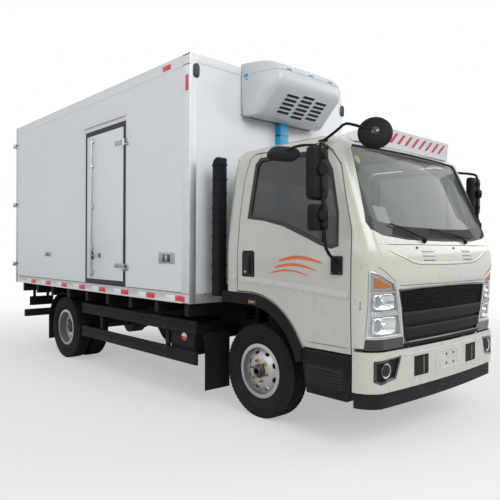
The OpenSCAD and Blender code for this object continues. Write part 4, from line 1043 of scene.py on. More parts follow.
def side_door():
    s = Shape()
    y0, y1, z0, z1 = SIDE_Y0, SIDE_Y1, SIDE_Z0, SIDE_Z1
    # leaf, with a shallow liner pan inside
    s.box(P(-BX, y0, z0), P(-BX + WALL - 0.004, y1, z1), "panel_white", r=0.004)
    s.box(P(-BX + WALL - 0.006, y0 + 0.03, z0 + 0.03), P(-BX + WALL, y1 - 0.03, z1 - 0.03), "panel_white",
        r=0.003)
    s.box(P(-BX - 0.0075, y0 + 0.012, z0 + 0.024), P(-BX, y1 - 0.012, z1 - 0.030), "panel_white", r=0.003)
    s.done("side_door_leaf", "side_door", "panel_white", smooth=35, nodes=("side_door",))
    # soft seal in a ring round the leaf, rounded with a lip
    g = Shape()
    prof = [(0.0, 0.0), (-0.0085, 0.06), (-0.009, 0.22), (-0.0072, 0.36), (-0.0085, 0.50), (-0.009, 0.85),
        (-0.006, 0.97), (0.0, 1.0)]
    rows = []
    for cy, cz, ry, rz in ((y0, z0, -1, -1), (y1, z0, 1, -1), (y1, z1, 1, 1), (y0, z1, -1, 1)):
        inside = 0.024 if rz < 0 else 0.030
        rows.append([P(-BX + px, cy + ry * (pw * 0.0388 - 0.012),
            cz + rz * (pw * (0.0268 + inside) - inside)) for px, pw in prof])
    g.grid(rows, "rubber", close_u=True, close_v=True)
    g.done("side_door_seal", "side_door", "black_plastic", smooth=50)


side_door()


def side_latch():
    s = Shape()
    face = -BX - 0.009
    z0 = BOX_LOW
    ry = SIDE_Y1 - 0.150
    rx = face - 0.020
    s.rod(P(rx, ry, z0 + 0.170), P(rx, ry, z0 + 1.720), 0.0105, "stainless", n=24)
    for z in (0.200, 0.480, 0.940, 1.400, 1.680):
        zz = z0 + z
        # guide: foot plate with a rounded saddle over the rod
        s.box(P(face - 0.004, ry - 0.020, zz), P(face, ry + 0.020, zz + 0.040), "stainless", r=0.0015)
        pts = [(face - 0.003, ry - 0.017)] + [(rx - 0.0139 * math.cos(a), ry - 0.0139 * math.sin(a))
            for a in [math.radians(q) for q in (90, 60, 30, 0, -30, -60, -90)]] + [(face - 0.003,
            ry + 0.017)]
        s.prism(pts, lambda x, y: P(x, y, zz + 0.008), lambda x, y: P(x, y, zz + 0.032), "stainless")
        for q in (-0.014, 0.014):
            s.rod(P(face - 0.003, ry + q, zz + 0.035), P(face - 0.006, ry + q, zz + 0.035), 0.003,
                "cast_grey", n=8)
        s.box(P(face - 0.0008, ry - 0.026, zz - 0.006), P(face, ry + 0.026, zz + 0.046), "lamp_grey",
            r=0.0003)
    # cam keepers at both ends
    for zz in (z0 + 0.172, z0 + 1.700):
        s.box(P(rx - 0.012, ry - 0.016, zz), P(rx + 0.012, ry + 0.016, zz + 0.018), "stainless", r=0.003)
    # handle with its grip and catch
    hz = z0 + 0.4125
    s.sweep([P(rx, ry - 0.004, hz), P(rx - 0.010, ry - 0.020, hz), P(rx - 0.010, ry - 0.060, hz),
        P(rx - 0.0105, ry - 0.120, hz), P(rx - 0.008, ry - 0.188, hz)],
        [0.010, 0.010, 0.0085, 0.0095, 0.008], "stainless", n=14, flat=0.5)
    s.box(P(face - 0.0045, ry - 0.034, z0 + 0.365), P(face, ry + 0.034, z0 + 0.462), "gloss_black", r=0.002)
    s.box(P(face - 0.006, ry - 0.190, z0 + 0.385), P(face, ry - 0.150, z0 + 0.440), "gloss_black", r=0.002)
    s.box(P(face - 0.034, ry - 0.180, z0 + 0.395), P(face - 0.004, ry - 0.166, z0 + 0.404), "stainless",
        r=0.002)
    s.box(P(face - 0.032, ry - 0.178, z0 + 0.422), P(face - 0.004, ry - 0.164, z0 + 0.432), "gloss_black",
        r=0.002)
    # hinge straps
    sx, sy = BX + 0.035, SIDE_Y0 - 0.030
    for z in (z0 + h for h in SIDE_HINGES):
        s.box(P(face - 0.008, sy, z), P(face, SIDE_Y0 + 0.170, z + 0.045), "stainless", r=0.002)
        s.box(P(-sx - 0.004, sy - 0.004, z), P(face, sy + 0.004, z + 0.045), "stainless", r=0.0015)
        s.lathe([(0.0053, 0), (0.010, 0), (0.010, 0.045), (0.0053, 0.045)], P(-sx, sy, z), (0, 0, 1),
            "stainless", n=24)
        for q in (0.05, 0.10, 0.15):
            for dz in (0.012, 0.033):
                s.rod(P(face - 0.007, SIDE_Y0 + q, z + dz), P(face - 0.011, SIDE_Y0 + q, z + dz), 0.005,
                    "cast_grey", n=6)
    s.done("side_door_latch_detailed", "side_door", "stainless", smooth=35, nodes=("side_door_latch",))


side_latch()


def rear_end():
    clean_copy("rear_door_frame", bevel=0.003)
    lz0, lz1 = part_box("rear_left_door")[0].z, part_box("rear_left_door")[1].z
    for side, name in ((1, "left"), (-1, "right")):
        lo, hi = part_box(f"rear_{name}_door")
        x0, x1 = (lo.x, hi.x) if side > 0 else (-hi.x, -lo.x)
        y1 = hi.y - AXLE_Y
        y0 = lo.y - AXLE_Y
        s = Shape()

        def q(x, y, z):
            return P(side * x, y, z)

        def bx(a, b, mat, r):
            s.box(P(side * a[0], a[1], a[2]), P(side * b[0], b[1], b[2]), mat, r=r)
        bx((x0, y0 + 0.004, lz0), (x1, y1, lz1), "panel_white", 0.004)
        bx((x0 + 0.03, y0, lz0 + 0.03), (x1 - 0.03, y0 + 0.006, lz1 - 0.03), "panel_white", 0.003)
        # black seal round the leaf's edge
        for a, b in (((x0, y1 - 0.014, lz0), (x0 + 0.012, y1 + 0.003, lz1)),
                ((x1 - 0.012, y1 - 0.014, lz0), (x1, y1 + 0.003, lz1)),
                ((x0 + 0.012, y1 - 0.014, lz0), (x1 - 0.012, y1 + 0.003, lz0 + 0.012)),
                ((x0 + 0.012, y1 - 0.014, lz1 - 0.012), (x1 - 0.012, y1 + 0.003, lz1))):
            bx(a, b, "rubber", 0.003)
        # generic reflective strips low on the door
        for k in range(4):
            a = x0 + 0.13 + k * 0.21
            if side > 0 or True:
                bx((a, y1 - 0.001, lz0 + 0.14), (a + 0.15, y1 + 0.0012, lz0 + 0.19),
                    "reflex_red" if k % 2 == 0 else "reflex_white", 0.0004)
        s.done(f"rear_{name}_leaf", f"rear_{name}_door", "panel_white", smooth=35,
            nodes=(f"rear_{name}_door",))
        # latch
        s = Shape()
        rx = 0.130
        ry = y1 + 0.022
        z0 = lz0
        s.rod(q(rx, ry, z0 + 0.020), q(rx, ry, lz1 - 0.020), 0.0105, "stainless", n=24)
        for k in (0.06, 0.3, 0.6, 0.93):
            zz = z0 + k * (lz1 - z0)
            bx((rx - 0.022, y1, zz), (rx + 0.022, y1 + 0.004, zz + 0.040), "stainless", 0.0015)
            pts = [(rx - 0.018, y1 + 0.002)] + [(rx - 0.0138 * math.sin(math.radians(w)),
                ry + 0.0138 * math.cos(math.radians(w))) for w in (90, 60, 30, 0, -30, -60,
                -90)] + [(rx + 0.018, y1 + 0.002)]
            s.prism(pts, lambda x, y: q(x, y, zz + 0.008), lambda x, y: q(x, y, zz + 0.032), "stainless")
        for zz in (z0 + 0.022, lz1 - 0.042):
            bx((rx - 0.017, ry - 0.012, zz), (rx + 0.017, ry + 0.012, zz + 0.02), "stainless", 0.003)
        hz = z0 + 0.435
        s.sweep([q(rx + 0.002, ry, hz), q(rx + 0.03, ry + 0.004, hz), q(rx + 0.12, ry + 0.004, hz),
            q(rx + 0.22, ry + 0.004, hz), q(rx + 0.328, ry + 0.002, hz)],
            [0.011, 0.011, 0.009, 0.0115, 0.010], "stainless", n=14, flat=0.5)
        bx((rx + 0.290, y1, z0 + 0.410), (rx + 0.330, y1 + 0.005, z0 + 0.460), "stainless", 0.002)
        bx((rx + 0.300, y1 + 0.003, z0 + 0.412), (rx + 0.318, y1 + 0.030, z0 + 0.421), "stainless", 0.002)
        hx = BX + 0.028
        hy = BOX_REAR + 0.028
        for k in (0.08, 0.5, 0.92):
            z = z0 + k * (lz1 - z0)
            bx((BX - 0.060 - 0.180, y1, z), (BX - 0.066, y1 + 0.008, z + 0.030), "stainless", 0.002)
            bx((BX - 0.067, y1 + 0.001, z), (hx, y1 + 0.008, z + 0.030), "stainless", 0.0015)
            bx((hx - 0.004, y1 + 0.001, z), (hx + 0.004, hy, z + 0.030), "stainless", 0.0015)
            s.lathe([(0.0053, 0), (0.012, 0), (0.012, 0.030), (0.0053, 0.030)], q(hx, hy, z), (0, 0, 1),
                "stainless", n=24)
            for w in (0.09, 0.15, 0.21):
                s.rod(q(BX - w, y1 + 0.007, z + 0.015), q(BX - w, y1 + 0.011, z + 0.015), 0.006,
                    "cast_grey", n=6)
        s.done(f"rear_{name}_latch_detailed", f"rear_{name}_door", "stainless", smooth=35,
            nodes=(f"rear_{name}_latch",))
    # clearance lamps on the header
    s = Shape()
    for x in (-0.95, -0.35, 0.35, 0.95):
        s.box(P(x - 0.05, BOX_REAR - 0.001, BOX_TOP - 0.062),
            P(x + 0.05, BOX_REAR + 0.012, BOX_TOP - 0.030), "red_lens", r=0.006, seg=3)
        s.box(P(x - 0.056, BOX_REAR - 0.001, BOX_TOP - 0.068),
            P(x + 0.056, BOX_REAR + 0.004, BOX_TOP - 0.024), "gloss_black", r=0.002)
    s.done("rear_clearance_lamps", "chassis", "red_lens", smooth=35)


rear_end()


# ------------------------------------------------------------------ cooling unit


def cooling_unit():
    """Rounded white shell bowed in plan, with a slanted front that has columns of air slots."""
    lo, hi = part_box("refrigeration_unit")
    hw = hi.x
    yb = hi.y - AXLE_Y
    yf = lo.y - AXLE_Y
    z0, z1 = lo.z, hi.z
    # profile in (depth ahead of the wall, height), bottom back to top back, with soft corners
    D = yb - yf
    prof = [(0.080, z0 + 0.002), (0.15, z0), (0.190, z0 + 0.004), (0.215, z0 + 0.020), (0.25, z0 + 0.052),
        (0.30, z0 + 0.100), (0.36, z0 + 0.158), (0.41, z0 + 0.206), (0.440, z0 + 0.238),
        (0.452, z0 + 0.256), (D - 0.004, z0 + 0.285), (D, z0 + 0.315), (D - 0.003, z0 + 0.345),
        (D - 0.020, z0 + 0.378), (D - 0.055, z0 + 0.425), (0.375, z0 + 0.462), (0.33, z0 + 0.482),
        (0.28, z0 + 0.494), (0.22, z1 - 0.008), (0.14, z1 - 0.002), (0.04, z1), (0.0, z1)]

    def plan_scale(u):
        """Depth factor across the width, u from -1 to 1: full in the middle, turned in at the sides."""
        a = abs(u)
        bow = 1 - 0.05 * a * a
        if a > 0.80:
            k = (a - 0.80) / 0.20
            bow *= math.sqrt(max(0.0, 1 - (k * 0.94) ** 2.4))
        return bow
    us = [-1, -0.995, -0.98, -0.955, -0.92, -0.88, -0.84, -0.78] + [i / 10 for i in range(-7, 8)] + [0.78,
        0.84, 0.88, 0.92, 0.955, 0.98, 0.995, 1]
    s = Shape()
    rows = []
    for u in us:
        f = plan_scale(u)
        side_in = max(0.0, (abs(u) - 0.9) / 0.1)
        rows.append([P(u * hw, yb - d * f, z0 + (z - z0) * (1 - 0.035 * side_in ** 2)
            + 0.012 * side_in ** 2) for d, z in prof])
    vs = s.grid(rows, "unit_shell")
    for end in (vs[0], vs[-1]):
        s.cap(end, "unit_shell")
    # back and underside plates
    s.box(P(-hw + 0.006, yb - 0.012, z0 + 0.03), P(hw - 0.006, yb, z1 - 0.012), "unit_shell", r=0.004)
    s.box(P(-hw + 0.06, yb - 0.16, z0 + 0.006), P(hw - 0.06, yb - 0.006, z0 + 0.03), "gloss_black", r=0.006)
    # slanted face: slot openings with rounded ends, five, six and five, each with a blade below it; each
    # opening is a flat dark patch of painted shade
    a, b = prof[5], prof[7]
    slope = math.atan2(b[1] - a[1], b[0] - a[0])
    start = (0.222, z0 + 0.026)
    for c, n, off in ((-1, 5, 0.5), (0, 6, 0.0), (1, 5, 0.5)):
        for i in range(n):
            t = 0.020 + (i + off) * 0.0455
            d0 = start[0] + math.cos(slope) * t
            h0 = start[1] + math.sin(slope) * t
            cx = c * 0.205
            f = plan_scale(cx / hw)
            out = Vector((0, -math.sin(slope), -math.cos(slope)))
            along = Vector((0, -math.cos(slope), math.sin(slope)))
            centre = P(cx, yb - d0 * f, h0)
            w, h = 0.082, 0.0145
            ring = [(w * 0.86 * math.copysign(1, math.cos(q)) + 0.14 * w * math.cos(q)
                if abs(math.cos(q)) > 0.01 else 0, h * math.sin(q))
                for q in [2 * math.pi * (k + 0.5) / 20 for k in range(20)]]
            # flat dark patch across the slot's face: painted shade of the opening
            s.prism(ring, lambda x, y: centre + Vector((x, 0, 0)) + along * y - out * 0.004,
                    lambda x, y: centre + Vector((x, 0, 0)) + along * y + out * 0.0035, "black_and_painted_shade")
            # raised lip round the slot and a blade inside
            big = [(x * 1.05 + math.copysign(0.003, x), y * 1.38) for x, y in ring]
            m = len(ring)
            o_ = [s.bm.verts.new(centre + Vector((x, 0, 0)) + along * y + out * 0.0025) for x, y in big]
            i_ = [s.bm.verts.new(centre + Vector((x, 0, 0)) + along * y + out * 0.0065) for x,
                y in [(x * 1.02, y * 1.12) for x, y in ring]]
            n_ = [s.bm.verts.new(centre + Vector((x, 0, 0)) + along * y + out * 0.0030) for x, y in ring]
            for k in range(m):
                k2 = (k + 1) % m
                for q in ([o_[k], o_[k2], i_[k2], i_[k]], [i_[k], i_[k2], n_[k2], n_[k]]):
                    s.bm.faces.new(q).material_index = s.slot("unit_shell")
            s.box(centre + Vector((-w * 0.9, 0, 0)) + along * -0.002 - Vector((0, 0.002, 0)),
                centre + Vector((w * 0.9, 0.002, 0.0025)) + along * -0.002 + out * 0.002, "lamp_grey")
    # seam round the shell
    belt = []
    for u in us:
        side_in = max(0.0, (abs(u) - 0.9) / 0.1)
        belt.append(P(u * hw, yb - (D - 0.024) * plan_scale(u) - 0.0005,
            z0 + 0.385 * (1 - 0.035 * side_in ** 2) + 0.012 * side_in ** 2))
    s.sweep(belt, 0.003, "lamp_grey", n=6)
    # plain coloured bars
    for e in (-1, 1):
        s.box(P(e * 0.40 - 0.035, yb - 0.10, z1 - 0.0008), P(e * 0.40 + 0.035, yb - 0.06, z1 + 0.001),
            "blue_plastic", r=0.0004)
    for e in (-1, 1):
        s.box(P(e * (hw - 0.004), yb - 0.098, z0 + 0.37), P(e * (hw + 0.0008), yb - 0.040, z0 + 0.40),
            "blue_plastic", r=0.0004)
        s.box(P(e * (hw - 0.004), yb - 0.098, z0 + 0.345), P(e * (hw + 0.0008), yb - 0.06, z0 + 0.357),
            "blue_plastic", r=0.0004)
    for cx in (-0.30, 0.0, 0.30):
        f = plan_scale(cx / hw)
        pts = [(cx - 0.032, 0.0), (cx + 0.032, 0.0), (cx + 0.026, 0.014), (cx - 0.026, 0.014)]
        s.prism(pts, lambda x, y: P(x, yb - (D - 0.035 - y) * f + 0.004, z0 + 0.402 + y), lambda x,
            y: P(x, yb - (D - 0.035 - y) * f - 0.0045, z0 + 0.402 + y), "blue_plastic")
    # fixing screws on the sides
    for e in (-1, 1):
        for zz in (0.09, 0.22, 0.43):
            p = P(e * (hw - 0.001), yb - 0.02, z0 + zz)
            s.rod(p, p + Vector((e * 0.004, 0, 0)), 0.006, "stainless", n=12)
    s.done("refrigeration_unit_shell", "chassis", "unit_shell", smooth=38, nodes=("refrigeration_unit",),
        merge=1e-6)
    # pipe cover: a rounded channel with clips
    lo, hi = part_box("pipe_cover")
    s = Shape()
    y0, y1 = lo.y - AXLE_Y, hi.y - AXLE_Y
    pts = [(lo.x, y1), (lo.x, y0 + 0.022)] + arc(lo.x + 0.022, y0 + 0.022, 0.022, 180, 270,
        6)[1:] + arc(hi.x - 0.022, y0 + 0.022, 0.022, 270, 360, 6) + [(hi.x, y1)]
    s.prism(pts, lambda x, y: P(x, y, lo.z), lambda x, y: P(x, y, hi.z), "blue_plastic")
    for k in range(6):
        z = lo.z + 0.12 + k * (hi.z - lo.z - 0.24) / 5
        s.prism(pts, lambda x, y: P(x + (x - (lo.x + hi.x) / 2) * 0.02, y - 0.0012, z), lambda x,
            y: P(x + (x - (lo.x + hi.x) / 2) * 0.02, y - 0.0012, z + 0.016), "gloss_black")
    s.done("pipe_cover_ribbed", "chassis", "blue_plastic", smooth=35, nodes=("pipe_cover",))


cooling_unit()

# ------------------------------------------------------------------ cab body

clean_copy("cab_shell", bevel=0.003, smooth=40, angle=42)
clean_copy("roof_board", bevel=0.010, seg=3, smooth=45)
clean_copy("wheel_arch_trim", bevel=0.006, smooth=40)
clean_copy("dashboard", mats=["interior_grey"], bevel=0.010, smooth=40)
clean_copy("steering_wheel", bevel=0.0, smooth=50)
clean_copy("cab_glass", mats=["windshield"], smooth=30)
clean_copy("left_door_glass", smooth=30)
clean_copy("right_door_glass", smooth=30)
clean_copy("left_door", bevel=0.002, smooth=40, angle=42)
clean_copy("right_door", bevel=0.002, smooth=40, angle=42)


def mirror_x(pts):
    return [(-x, z) for x, z in pts[::-1]]


GRILLE = [(0.0, 0.725), (0.30, 0.725), (0.576, 0.725), (0.624, 0.92), (0.672, 1.118), (0.40, 1.128),
    (0.0, 1.132)]
GRILLE_ALL = GRILLE + mirror_x(GRILLE[1:-1])


def grille_half_width(z):
    return 0.576 + (z - 0.725) / (1.118 - 0.725) * (0.672 - 0.576)


def grille():
    s = Shape()
    # dark sheet behind everything: painted shade for the recess behind the grille
    plate(s, [(x * 0.998, 0.728 + (z - 0.725) * 0.985) for x, z in GRILLE_ALL], on_front, -0.030, -0.024,
        "black_and_painted_shade", 0.08)
    # outer frame
    ring = densify(GRILLE_ALL, 0.05)
    cz = 0.93
    rows = []
    for x, z in ring:
        x1, z1 = x - 0.0012 * math.copysign(1, x) if abs(x) > 0.01 else x, z + (0.0008 if z < cz
            else -0.0008)
        xi = x * (1 - 0.018 / max(abs(x), 0.3)) if abs(x) > 0.02 else x
        zi = z + (0.016 if z < 0.8 else (-0.014 if z > 1.1 else 0.0))
        rows.append([on_front(x1, z1, -0.040), on_front(x1, z1, -0.001),
            on_front((x1 + xi) / 2, (z1 + zi) / 2, 0.001), on_front(xi, zi, -0.003),
            on_front(xi, zi, -0.040)])
    s.grid(rows, "gloss_black", close_u=True)
    # two thick rounded bars below the mesh, bowed with the cab
    for z, h in ((0.908, 0.090), (0.802, 0.090)):
        w = grille_half_width(z) - 0.012
        rows = []
        for i in range(37):
            x = -w + 2 * w * i / 36
            row = []
            for k in range(20):
                a = 2 * math.pi * k / 20
                ca, sa = math.cos(a), math.sin(a)
                row.append(on_front(x, z + math.copysign(abs(sa) ** 0.7, sa) * h / 2,
                    -0.022 + 0.027 * math.copysign(abs(ca) ** 0.6, ca)))
            rows.append(row)
        vs = s.grid(rows, "black_plastic", close_v=True)
        s.cap(vs[0][::-1], "black_plastic")
        s.cap(vs[-1], "black_plastic")
    # mesh of small hexagonal cells in the upper zone
    zlo, zhi = 0.965, 1.112
    pitch = 0.020
    rows_n = int((zhi - zlo) / (pitch * 0.866))
    for j in range(rows_n + 1):
        z = zlo + j * pitch * 0.866
        w = grille_half_width(z) - 0.02
        n = int(2 * w / pitch)
        for i in range(n):
            x = -w + pitch * (i + (0.5 if j % 2 else 0.0)) + (2 * w - n * pitch) / 2
            if abs(x) > w - 0.006:
                continue
            ro, ri = pitch * 0.577 * 0.96, pitch * 0.577 * 0.72
            hexo = [(x + ro * math.cos(math.radians(60 * k + 30)),
                z + ro * math.sin(math.radians(60 * k + 30))) for k in range(6)]
            hexi = [(x + ri * math.cos(math.radians(60 * k + 30)),
                z + ri * math.sin(math.radians(60 * k + 30))) for k in range(6)]
            a = [s.bm.verts.new(on_front(px, pz, -0.010)) for px, pz in hexo]
            b = [s.bm.verts.new(on_front(px, pz, -0.010)) for px, pz in hexi]
            c = [s.bm.verts.new(on_front(px, pz, -0.019)) for px, pz in hexi]
            for k in range(6):
                k2 = (k + 1) % 6
                for q in ([a[k], a[k2], b[k2], b[k]], [b[k], b[k2], c[k2], c[k]]):
                    s.bm.faces.new(q).material_index = s.slot("black_plastic")
    plate(s, [(-0.60, 0.706), (0.60, 0.706), (0.60, 0.7285), (-0.60, 0.7285)], on_front, -0.0005, 0.0025,
        "black_plastic", 0.03)
    s.done("grille_detailed", "cab", "black_plastic", smooth=40, nodes=("grille",), merge=1e-6)


grille()

LAMP = [(0.606, 0.790), (0.925, 0.790), (0.932, 0.800), (0.932, 1.240), (0.920, 1.248), (0.712, 1.165),
    (0.690, 1.120)]


def inset_outline(pts, t):
    """Moves a convex outline in by t."""
    n = len(pts)
    out = []
    area = sum(pts[i][0] * pts[(i + 1) % n][1] - pts[(i + 1) % n][0] * pts[i][1] for i in range(n))
    sgn = 1 if area > 0 else -1
    for i in range(n):
        a, b, c = Vector(pts[i - 1]), Vector(pts[i]), Vector(pts[(i + 1) % n])
        u, v = (b - a).normalized(), (c - b).normalized()
        nu, nv = Vector((-u.y, u.x)) * sgn, Vector((-v.y, v.x)) * sgn
        m = nu + nv
        out.append(tuple(b + m * t * 2 / max(m.dot(m), 0.4)))
    return out


def headlamp(side):
    """Tall lamp that wraps the corner: amber top, two clear lamps with a bar between, in a grey bezel."""
    s = Shape()

    def at(x, z, out=0.0):
        p = on_front(x, z, out)
        p.x *= side
        return p
    # housing
    plate(s, inset_outline(LAMP, 0.001), at, -0.040, -0.030, "lamp_grey", 0.04)
    # rim round the opening
    a_ = inset_outline(LAMP, 0.0008)
    b_ = inset_outline(LAMP, 0.0120)
    rows = []
    for i in range(len(a_)):
        p, q = Vector(a_[i]), Vector(a_[(i + 1) % len(a_)])
        u, v = Vector(b_[i]), Vector(b_[(i + 1) % len(a_)])
        k = max(1, int((q - p).length / 0.03))
        for j in range(k):
            t = j / k
            o = p.lerp(q, t)
            n = u.lerp(v, t)
            rows.append([at(o.x, o.y, -0.036), at(o.x, o.y, -0.002),
                at((o.x + n.x) / 2, (o.y + n.y) / 2, 0.0002), at(n.x, n.y, -0.006), at(n.x, n.y, -0.034)])
    s.grid(rows, "lamp_grey", close_u=True)

    def xi(z):      # inner edge of the lamp at a height
        if z < 1.120:
            return 0.606 + (z - 0.790) / 0.330 * (0.690 - 0.606)
        return 0.690 + (z - 1.120) / 0.045 * 0.022
    def quad(z0, z1, x0, x1, lo, hi, mat, step=0.02):
        plate(s, [(x0(z0), z0), (x1(z0), z0), (x1(z1), z1), (x0(z1), z1)], at, lo, hi, mat, step)
    # amber indicator along the top, following the slanted edge
    plate(s, [(0.722, 1.112), (0.918, 1.112), (0.918, 1.232), (0.726, 1.156)], at, -0.024, -0.016, "chrome",
        0.025)
    plate(s, [(0.745, 1.128), (0.897, 1.128), (0.897, 1.200), (0.750, 1.150)], at, -0.018, -0.008,
        "amber_lens", 0.025)
    for k in range(4):
        z = 1.134 + k * 0.013
        x0, x1 = 0.752, 0.892
        if z > 1.146:
            x0 = 0.760 + (z - 1.146) / 0.050 * 0.140
        plate(s, [(x0, z), (x1, z), (x1, z + 0.004), (x0, z + 0.004)], at, -0.009, -0.0045, "amber_lens",
            0.03)
    # ribbed bar between the two clear lamps, and a plain one under the indicator
    quad(0.936, 0.972, lambda z: xi(z) + 0.014, lambda z: 0.918, -0.030, -0.012, "lamp_grey")
    for k in range(14):
        x = 0.668 + k * 0.018
        quad(0.940, 0.968, lambda z, x=x: x, lambda z, x=x: x + 0.007, -0.013, -0.009, "chrome")
    quad(1.094, 1.106, lambda z: xi(z) + 0.014, lambda z: 0.918, -0.030, -0.008, "lamp_grey")

    # square-cornered reflector bowls with a dome in each
    for cx, cz, hx, hz in ((0.790, 0.870, 0.108, 0.056), (0.808, 1.034, 0.096, 0.052)):
        rows = []
        for k, d in ((1.05, -0.030), (1.05, -0.009), (1.0, -0.007), (0.95, -0.010), (0.80, -0.022),
                (0.45, -0.029), (0.30, -0.029), (0.28, -0.020), (0.20, -0.013), (0.0, -0.010)):
            row = []
            for i in range(36):
                q = 2 * math.pi * i / 36
                e = 0.45 if k > 0.5 else 1.0
                sx = hx * k if k > 0.5 else hz * k * 1.25
                row.append(at(cx + math.copysign(abs(math.cos(q)) ** e, math.cos(q)) * sx,
                    cz + math.copysign(abs(math.sin(q)) ** e, math.sin(q)) * hz
                    * (k if k > 0.5 else k * 1.25), d))
            rows.append(row)
        s.grid(rows, "chrome", close_v=True)
        for i in range(5):
            x = cx + hx * 0.50 + i * 0.011
            quad(cz - hz * 0.62, cz + hz * 0.62, lambda z, x=x: x, lambda z, x=x: x + 0.004, -0.024, -0.013,
                "lamp_grey")
    name = hand(side)
    s.done(f"headlamp_{name}", "cab", "lamp_lens", smooth=40, nodes=("headlamps",), merge=1e-6)
    g = Shape()
    plate(g, inset_outline(LAMP, 0.0115), at, -0.0052, -0.0022, "lamp_lens", 0.02)
    g.done(f"headlamp_lens_{name}", "cab", "lamp_lens", smooth=50, merge=1e-6)
    # black band under the lamp and along the grille's side
    b = Shape()
    plate(b, [(0.580, 0.706), (0.930, 0.706), (0.930, 0.782), (0.600, 0.782)], at, -0.003, 0.003,
        "gloss_black", 0.03)
    b.done(f"lamp_band_{name}", "cab", "black_plastic", smooth=40, bevel=0.001)


both(headlamp)


def cab_front_details():
    s = Shape()
    # two banks of three slim pressed louvres over the grille, each with a painted shade line under it
    for cx in (-0.285, 0.325):
        for r in range(3):
            z = 1.322 + r * 0.031
            rows = []
            for j in range(13):
                u = j / 6 - 1
                e = math.sqrt(max(0.0, 1 - abs(u) ** 6))
                x = cx + 0.086 * u
                rows.append([on_front(x, z - 0.0075 * e, -0.0008), on_front(x, z - 0.0045 * e, 0.0036 * e),
                    on_front(x, z + 0.0035 * e, 0.0046 * e), on_front(x, z + 0.0080 * e, -0.0008)])
            s.grid(rows, "cab_paint")
            # dark line under the louvre: painted shade in its groove
            s.sweep([on_front(cx + 0.080 * u, z - 0.0085, 0.0004) for u in [i / 5 - 1 for i in range(11)]],
                0.0016, "black_and_painted_shade", n=6)
    # crease that dips towards the middle, raised like a pressed fold, with a painted shade line under it
    pts = [(-0.80, 1.402), (-0.70, 1.368), (-0.50, 1.304), (-0.42, 1.292), (-0.2, 1.287), (0.0, 1.286),
        (0.2, 1.287), (0.42, 1.292), (0.50, 1.304), (0.70, 1.368), (0.80, 1.402)]
    fine = []
    for (x0, z0), (x1, z1) in zip(pts, pts[1:]):
        for j in range(6):
            fine.append((x0 + (x1 - x0) * j / 6, z0 + (z1 - z0) * j / 6))
    fine.append(pts[-1])
    rows = [[on_front(x, z + 0.016, -0.001), on_front(x, z + 0.006, 0.0014), on_front(x, z, 0.0028),
        on_front(x, z - 0.003, 0.0018), on_front(x, z - 0.010, -0.001)] for x, z in fine]
    s.grid(rows, "cab_paint")
    # dark line under the fold: painted shade
    s.sweep([on_front(x, z - 0.005, 0.0010) for x, z in fine], 0.0014, "black_and_painted_shade", n=6)
    # panel gap round the front lid: a fine dark line
    for e in (1, -1):
        s.sweep([on_front(e * x, z, 0.0004) for x, z in ((0.705, 1.172), (0.76, 1.205), (0.84, 1.252),
            (0.885, 1.275))], 0.0018, "black_and_painted_shade", n=6)
    s.sweep([on_front(x, 1.428, 0.0004) for x in [i / 20 for i in range(-17, 18)]], 0.0022, "black_and_painted_shade",
        n=6)
    s.sweep([on_front(x, 1.142, 0.0004) for x in [i / 20 for i in range(-13, 14)]], 0.0018, "black_and_painted_shade",
        n=6)
    s.done("front_panel_details", "cab", "cab_paint", smooth=45)
    # frame of the windshield: black frit on the glass's edge and a rubber seal
    g = Shape()
    ws = [(0.0, 1.455), (0.50, 1.462), (0.78, 1.490), (0.88, 1.530), (0.897, 1.580), (0.824, 1.990),
        (0.802, 2.125), (0.768, 2.158), (0.50, 2.168), (0.0, 2.172)]
    allp = ws + mirror_x(ws[1:-1])
    dense = densify(allp, 0.03)

    def toward(x, z, k):
        return (x * (1 - k / 0.95), z + (1.80 - z) * k / 0.42)
    rows = []
    for x, z in dense:
        a = toward(x, z, 0.000)
        b = toward(x, z, 0.008)
        c = toward(x, z, 0.034)
        rows.append([on_front(*a, -0.006), on_front(*a, -0.0005), on_front(*b, -0.0002),
            on_front(*b, -0.0105), on_front(*c, -0.0115)])
    g.grid(rows, "rubber", close_u=True)
    low = [(-0.862, 1.548), (-0.78, 1.506), (-0.50, 1.478), (0.0, 1.470), (0.50, 1.478), (0.78, 1.506),
        (0.862, 1.548)]
    plate(g, low + [(x * 0.98, z + 0.088) for x, z in low[::-1]], on_front, -0.0119, -0.0113, "black_and_painted_shade",
        0.04)
    g.done("windshield_seal", "cab", "black_plastic", smooth=40)
    # wipers
    w = Shape()
    for a, b, piv in (((-0.655, 1.572), (-0.250, 1.466), (-0.30, 1.452)),
            ((-0.158, 1.545), (0.480, 1.480), (0.36, 1.452))):
        p = [on_front(a[0] + (b[0] - a[0]) * t, a[1] + (b[1] - a[1]) * t,
            0.009 + 0.002 * math.sin(math.pi * t)) for t in [i / 12 for i in range(13)]]
        w.sweep(p, 0.0065, "black_plastic", n=8, flat=0.6)
        p2 = [on_front(a[0] + (b[0] - a[0]) * t, a[1] + (b[1] - a[1]) * t, 0.003)
            for t in [i / 12 for i in range(13)]]
        w.sweep(p2, 0.0035, "rubber", n=6)
        m = ((a[0] + b[0]) / 2, (a[1] + b[1]) / 2)
        arm = [(piv[0] + (m[0] - piv[0]) * t, piv[1] + (m[1] - piv[1]) * t)
            for t in [i / 6 for i in range(7)]]
        w.sweep([on_front(x, z, 0.014 + 0.010 * math.sin(math.pi * min(1, i / 4))) for i,
            (x, z) in enumerate(arm)], [0.010, 0.009, 0.008, 0.007, 0.006, 0.006, 0.006], "black_plastic",
            n=8, flat=0.5)
        c = on_front(piv[0], piv[1], 0.0)
        n = (on_front(piv[0], piv[1], 0.01) - c).normalized()
        w.lathe([(0.0, 0.024), (0.012, 0.022), (0.015, 0.012), (0.017, 0.0), (0.017, -0.006)], c, n,
            "black_plastic", n=18)
    w.done("wipers", "cab", "black_plastic", smooth=50)
